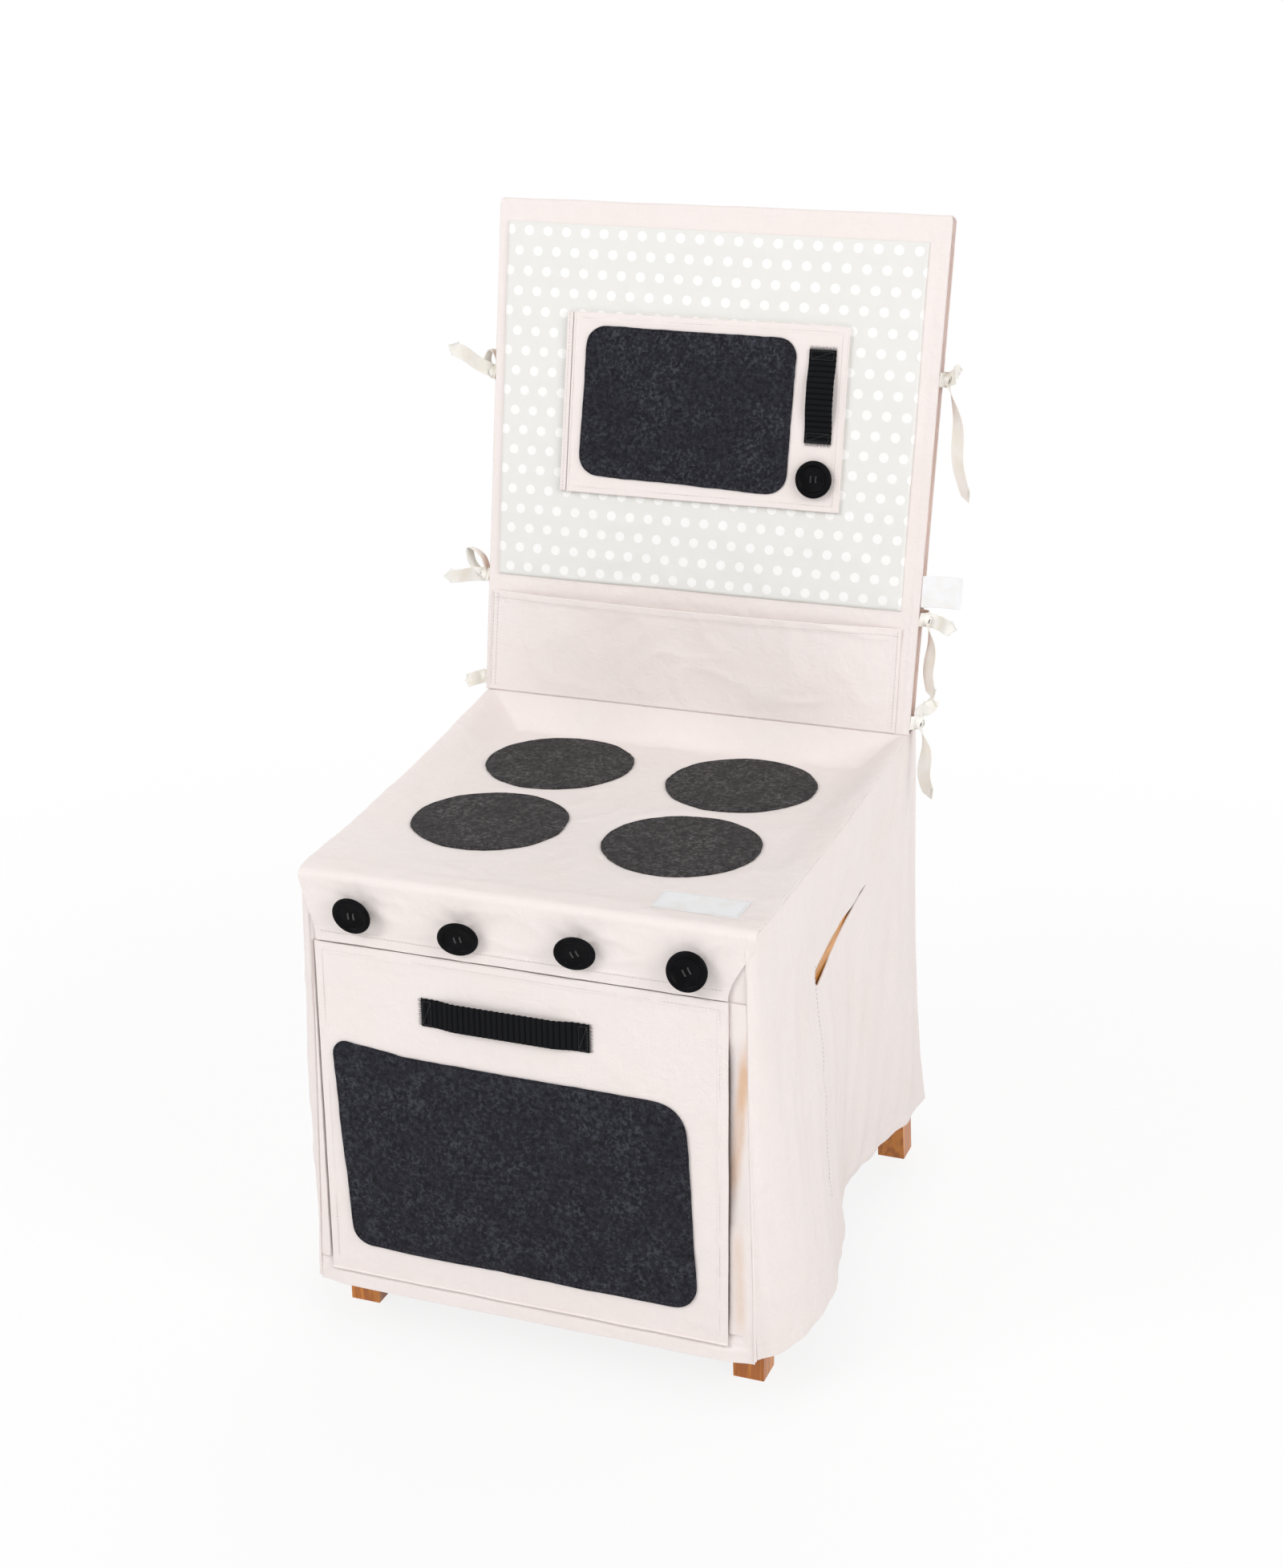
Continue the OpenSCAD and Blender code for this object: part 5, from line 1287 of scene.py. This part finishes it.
def sleeve(crumple):
    """Hangs the sleeve: up the front of the chair's back, over its top and down behind it."""
    bend = SLEEVE_H - SLEEVE_R
    arc = np.radians(np.linspace(10, 90, 6))
    rise = np.concatenate([np.linspace(0.4, 478, 130), np.linspace(480, bend, 4)])
    s = np.concatenate([rise, bend + SLEEVE_R * np.sin(arc), np.full(8, SLEEVE_H),
                        bend + SLEEVE_R * np.cos(arc[:-1]), np.linspace(484, 7, 90)])
    d = np.concatenate([np.zeros(len(rise)), SLEEVE_R * (1 - np.cos(arc)), np.linspace(4, 28.6, 8),
                        SLEEVE_D - SLEEVE_R + SLEEVE_R * np.sin(arc[:-1]), np.full(90, SLEEVE_D)])
    u = graded(2.0, 0.02, fine=(0, 0.002, 0.006, 0.014, 0.022, 0.032, 0.04, 0.046)) - 1
    (s, u), (d, _) = spread(s, u), spread(d, u)
    half = sleeve_half(s) - 4 * smooth((d - 8) / 20)
    x = u * (half - np.clip((s - 483) / 5, 0, 1) ** 2 * 1.6)
    front, rear, edge = smooth((3 - d) / 3), smooth((d - 28) / 4), (1 - np.abs(u)) * half
    lift = crumple * 0.42 * (creases(x / 70, s / 80, 91) + ripple(x / 50, s / 66, 92)) + hem(edge, 7, 0.4)
    lift = np.clip(front * lift, -0.2, 1.3)
    slack = 1.6 * np.clip(ripple(x / 80, s / 160, 93), -0.1, 1) + 1.2 * creases(x / 90, s / 120, 94)
    slack = slack * smooth((s - 10) / 60) * smooth((480 - s) / 40)
    lift += rear * (crumple * slack + hem(edge, 7, 0.4))
    cap = 0.72 * crumple * ripple(x / 60, 2, 95) * smooth((s - 470) / 16)
    grid = on_back(x, d - np.where(d < 16, 1, -1) * lift * (s < bend), s + cap)
    nodes = ("back_cover_front", "back_cover_top", "back_cover_rear")
    panel = cloth("back_sleeve", grid, CANVAS, (0, -0.6, 0.5), "canvas", "root", nodes)
    declare(grid)
    across = np.linspace(-219.5, 219.5, 90)
    tube("back_seam", stack(across, 429.2 + 0.15 * ripple(across / 30, 3, 62), 488.9), 1.3, "canvas")


def dotted_panel(crumple):
    """Sews the dotted panel on, a little askew and puffed up round its edge."""
    fine = (0, 0.5, 1.2, 2.4, 4, 5.2, 6.2, 8)
    a, b = spread(graded(DOTTED_W, 4.0, fine), graded(DOTTED_H, 4.0, fine))
    x, s, over, up = a + DOTTED_LEFT, b + DOTTED_LOW, a / DOTTED_W, b / DOTTED_H
    near = np.minimum(np.minimum(a, DOTTED_W - a), np.minimum(b, DOTTED_H - b))
    clear = smooth((np.maximum(np.abs(x - SHIFT) - 143.5, np.abs(s - 294.5) - 87.5) + 2) / 12)
    soft = creases(x / 60, s / 74, 101) + 0.7 * ripple(x / 44, s / 50, 102)
    lift = 3.4 * (0.32 + 0.68 * smooth(near / 2.2)) + crumple * clear * smooth(near / 14) * 0.9 * soft
    bow = crumple * 0.7 * ripple(x / 90, s / 90, 103) * smooth((12 - near) / 12)
    lean = lerp(lerp(3.0, -2.2, up), lerp(-0.3, 2.2, up), over)
    grid = on_back(x + lean + bow * (np.abs(x - SHIFT) > 195), -lift,
                   s - 3.6 * up * over + bow * (np.abs(s - 290) > 160))
    panel = cloth("dotted_panel", grid, 2.6, (0, -1, 0), "dotted", "root", ("backsplash_panel",),
                  cut=np.stack([x, s], -1), round_edge=0.2)
    declare(grid)


def utensil_pocket(crumple, pitch):
    """Sews the pocket on along three sides, its top hem bowed out. Its left side has two rows of stitches."""
    fine = (0, 0.003, 0.008, 0.016, 0.024, 0.03, 0.036, 0.046, 0.06)
    climb = np.concatenate([np.linspace(0, 0.86, 40), np.linspace(0.875, 1, 14)])
    u, t = spread(graded(2.0, 0.02, fine) - 1, climb)
    bow = 14 * (1 - np.abs(u) ** 2.4) * t ** 1.3
    x, s = u * POCKET_HALF + SHIFT, 1 + POCKET_H * t
    top, edge = (1 - t) * POCKET_H, (1 - np.abs(u)) * POCKET_HALF
    soft = 1.4 * ripple(x / 60, s / 70, 111) + 1.2 * creases(x / 80, s / 46, 112)
    lift = hem(top, 8) + hem(edge, 5.5, 0.4) + crumple * smooth(edge / 20) * soft * smooth(s / 20)
    grid = on_back(x, -1.65 - bow - lift, s - 1.76 * (1 - u * u) * smooth(t))
    pocket = cloth("utensil_pocket_cloth", grid, CANVAS, (0, -1, 0), "canvas", "root", ("utensil_pocket",))
    out = normals(grid, (0, -1, 0))

    def column(side, inset):
        """The grid's column nearest to an inset from one side."""
        return int(np.argmin(np.abs((1 - side * u[:, 0]) * POCKET_HALF - inset)))

    rows = [(slice(3, -3), int(np.argmin(np.abs(top[0] - 6.4))))]
    rows += [(column(side, inset), slice(2, -2)) for side, inset in ((-1, 2.2), (-1, 6.6), (1, 3))]
    lines = [(grid[row] + out[row] * 0.1, out[row]) for row in rows]
    sewn = stitches("utensil_pocket_stitches", lines, "root", pitch, 2.4, 0.5)
    declare(grid, [sewn])


# ------------------------------------------------------------- microwave and buttons


def on_base(x, s, h):
    return on_back(x, MICRO_BASE - np.asarray(h), s)


def on_face(x, s, h):
    return on_back(x, MICRO_FACE - np.asarray(h), s)


class OVEN_OT_microwave(bpy.types.Operator):
    """Sews the microwave: its base, its door on a side hinge, felt window and webbing handle"""

    bl_idname = "play_oven.microwave"
    bl_label = "Microwave"
    bl_options = {"REGISTER", "UNDO"}

    def execute(self, context):
        sew_microwave(context.scene)
        return {"FINISHED"}


def sew_microwave(scene):
    sizes = scene.play_oven_sizes
    wide, pitch = sizes.hem_width * 1000 * 0.8, sizes.stitch_pitch * 1000
    up = graded(MICRO_TOP - MICRO_LOW, 5, MICRO_FINE) + MICRO_LOW
    x, s = spread(graded(MICRO_RIGHT - MICRO_LEFT, 5, MICRO_FINE) + MICRO_LEFT, up)
    strip = 2.4 * (1 - smooth((x - MICRO_LEFT - 6.5) / 1.4))
    near = np.minimum(x - MICRO_LEFT, np.minimum(s - MICRO_LOW, MICRO_TOP - s))
    grid = on_base(x, s, strip * smooth(near / 0.8) - 0.25 * bell(x - MICRO_LEFT - 3.2, 0.8))
    base = cloth("microwave_base_panel", grid, 2.3, (0, -1, 0), "canvas_flat", "root", ("microwave_base",))
    line = on_base(MICRO_LEFT + 3.2, np.linspace(MICRO_LOW + 1, MICRO_TOP - 1, 50), 2.35)
    sewn = stitches("microwave_strip_stitches", [(line, on_base(0, 0, 1) - on_base(0, 0, 0))], "root",
                    pitch, 2.4, 0.5)
    declare(grid, [sewn])

    x, s = spread(graded(MICRO_RIGHT - MICRO_HINGE, 3.6, MICRO_FINE) + MICRO_HINGE, up)
    near = np.minimum(MICRO_RIGHT - x, np.minimum(s - MICRO_LOW, MICRO_TOP - s))
    calm = smooth(np.maximum(np.abs(x - 114.5) - 20, np.abs(s - 300) - 70) / 10 + 0.25)
    soft = 0.45 * (creases(x / 40, s / 52, 121) + ripple(x / 34, s / 40, 122)) * smooth(near / 10) * calm
    lift = hem(near, wide, 0.35) + sizes.crumple * soft
    wave = 0.4 * ripple(x / 50, 3, 123) * smooth((np.abs(s - 294.5) - 70) / 17)
    grid = on_face(x, s + wave, np.clip(lift, -0.2, 1.1))
    body = "microwave_door"
    door = cloth("microwave_door_panel", grid, 2.2, (0, -1, 0), "canvas_flat", body, ("microwave_door",))
    path = on_face(MICRO_HINGE, np.linspace(MICRO_LOW + 0.2, MICRO_TOP - 0.2, 40), 0)
    piping = tube("microwave_door_seam", path, 1.2, "canvas_flat", body)
    rim = rim_line(on_face, (MICRO_HINGE + 2, MICRO_RIGHT, MICRO_LOW, MICRO_TOP), wide - 1.6, 0.25, "rtb")
    seam = stitches("microwave_door_stitches", rim, body, pitch, 2.4, 0.5)
    declare(grid, [seam, piping])

    corners = [(-128.5, 225), (85.5, 219.5), (89, 368.5), (-126, 370)]
    felt_patch("microwave_window_felt", "microwave_window", rounded(corners, 19, sizes.felt_fray * 700, 131),
               lambda p, h: on_face(p[:, 0], p[:, 1], h + 0.3 * smooth(h)), "window_felt", body,
               3.0, 0.3, 132)
    strap("microwave_handle_webbing", "microwave_handle", lambda p, q, h: on_face(101 + q, 271 + p, h), 89,
          sizes.rib_pitch * 1000, body)


class OVEN_OT_buttons(bpy.types.Operator):
    """Finishes the five buttons and the thread that holds them"""

    bl_idname = "play_oven.buttons"
    bl_label = "Buttons"
    bl_options = {"REGISTER", "UNDO"}

    def execute(self, context):
        repaint("button", "microwave_button", *(f"knob_{n}" for n in range(1, 5)))
        repaint("black_thread", "microwave_button_thread", *(f"knob_thread_{n}" for n in range(1, 5)))
        return {"FINISHED"}


# --------------------------------------------------------------------------- ribbons


def turned(points, angles):
    """Points turned about x, then y, then z, by angles in degrees."""
    for angle, (i, j) in zip(np.radians(angles), ((1, 2), (2, 0), (0, 1))):
        c, s = math.cos(angle), math.sin(angle)
        p = points.copy()
        p[..., i] = points[..., i] * c - points[..., j] * s
        p[..., j] = points[..., i] * s + points[..., j] * c
        points = p
    return points


def beside_back(points, side, at, s):
    """Points round a place beside the sleeve, set on the raked back at a height up it."""
    return on_back(side * (points[..., 0] + at[0]), points[..., 1] + at[1], points[..., 2] + s)


def ribbon_grid(path, angles, pointed, twist, seed):
    """Cotton tape through points in its own plane, its width upright across it, curling a little."""
    t = np.linspace(0, 1, 44)
    line = through([(*p, 0) for p in path], t)
    ahead = unit(np.gradient(line, axis=0))
    flat = np.stack([-ahead[:, 1], ahead[:, 0], 0 * t], -1)
    curl = (0.3 * np.sin(t * 4.2 + seed) * t + math.radians(twist) * smooth(t / 0.55))[:, None]
    across = flat * np.sin(curl) + np.array([0, 0, 1.0]) * np.cos(curl)
    w = np.linspace(-RIBBON_HALF, RIBBON_HALF, 13)[:, None]
    grid = line[:, None] + across[:, None] * w + flat[:, None] * 0.5 * (1 - (w / RIBBON_HALF) ** 2)
    if pointed:
        tip = smooth((t - 0.8) / 0.2)[:, None, None]
        grid = grid - ahead[:, None] * np.abs(w) / RIBBON_HALF * 9.0 * tip
    return turned(grid, angles)


class OVEN_OT_ties(bpy.types.Operator):
    """Ties the six cotton ribbons, each knotted at the open side of the sleeve"""

    bl_idname = "play_oven.ties"
    bl_label = "Ribbon ties"
    bl_options = {"REGISTER", "UNDO"}

    def execute(self, context):
        tie_ribbons()
        return {"FINISHED"}


def tie_ribbons():
    for seed, (node, (side, s, knot, ends)) in enumerate(TIES.items()):
        half = sleeve_half(s)
        bridge = [(half - 3.9, 31.4), (half + 3.6, 26.2), knot, (half + 0.1, 0.4)]
        grid = beside_back(ribbon_grid(bridge, (0, 0, 0), False, 0, seed), side, (0, 0), s)
        main = cloth(node + "_ribbon", grid, RIBBON, normals(grid, (side, 0, 0)).mean((0, 1)), "ribbon", "root",
                     (node,))
        for k, (angles, kind, length, wave) in enumerate(ends):
            if kind == "tail":
                path = [(0, 0), (length * 0.33, wave), (length * 0.68, -wave * 0.6), (length, wave * 0.4)]
            else:
                path = [(0, 2.5), (length * 0.55, wave), (length, 0), (length * 0.55, -wave), (0, -2.5)]
            twist = 70 if kind == "tail" and angles[0] > 60 else 0
            end = beside_back(ribbon_grid(path, angles, kind == "tail", twist, seed + 3 * k + 1), side, knot, s)
            piece = cloth(f"{node}_{kind}_{k + 1}", end, RIBBON, normals(end, (side, -0.5, 0)).mean((0, 1)),
                          "ribbon", "root")
            declare(end)
        declare(grid, knot_wraps(node, side, s, knot))


def knot_wraps(node, side, s, knot):
    """Three turns of ribbon round a knot, each tilted its own way."""
    turn = np.linspace(0, 2 * np.pi, 41)
    w = np.linspace(-4.2, 4.2, 7)[:, None]
    wraps = []
    for k, tilt in enumerate((0, 62, 118)):
        ring = (4.5 + 0.35 * k) * np.stack([np.cos(turn), np.sin(turn), 0 * turn], -1)
        ring = ring[:, None] * (1 - 0.007 * w ** 2) + np.array([0, 0, 1.0]) * w
        ring = turned(turned(ring, (90 - 16 * k, 0, 0)), (0, tilt, 25 * k))
        wraps.append(cloth(f"{node}_knot_{k + 1}", beside_back(ring, side, knot, s), RIBBON, (0, 0, 0.001),
                           "ribbon", "root", round_edge=0.2))
    return wraps


# ----------------------------------------------------------------------------- panel

STEPS = [OVEN_OT_stage, OVEN_OT_chair, OVEN_OT_hob, OVEN_OT_skirts, OVEN_OT_oven_door, OVEN_OT_back,
         OVEN_OT_microwave, OVEN_OT_buttons, OVEN_OT_ties]


class OVEN_PT_panel(bpy.types.Panel):
    """Lists the cover's sizes, colours and the steps that sew it"""

    bl_idname = "OVEN_PT_panel"
    bl_label = "Play Oven Cover"
    bl_space_type = "VIEW_3D"
    bl_region_type = "UI"
    bl_category = "Play Oven"

    def draw(self, context):
        scene = context.scene
        for group in (scene.play_oven_sizes, scene.play_oven_colours, scene.play_oven_light):
            box = self.layout.box()
            for name in type(group).__annotations__:
                box.prop(group, name)
        for step in STEPS:
            self.layout.operator(step.bl_idname)


CLASSES = [CoverSizes, CoverColours, LightSettings, *STEPS, OVEN_PT_panel]


def register():
    for item in CLASSES:
        bpy.utils.register_class(item)
    bpy.types.Scene.play_oven_sizes = PointerProperty(type=CoverSizes)
    bpy.types.Scene.play_oven_colours = PointerProperty(type=CoverColours)
    bpy.types.Scene.play_oven_light = PointerProperty(type=LightSettings)


def unregister():
    del bpy.types.Scene.play_oven_sizes, bpy.types.Scene.play_oven_colours, bpy.types.Scene.play_oven_light
    for item in reversed(CLASSES):
        bpy.utils.unregister_class(item)


def main():
    register()
    for step in STEPS:
        group, name = step.bl_idname.split(".")
        getattr(getattr(bpy.ops, group), name)()
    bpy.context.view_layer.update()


if __name__ == "__main__":
    main()
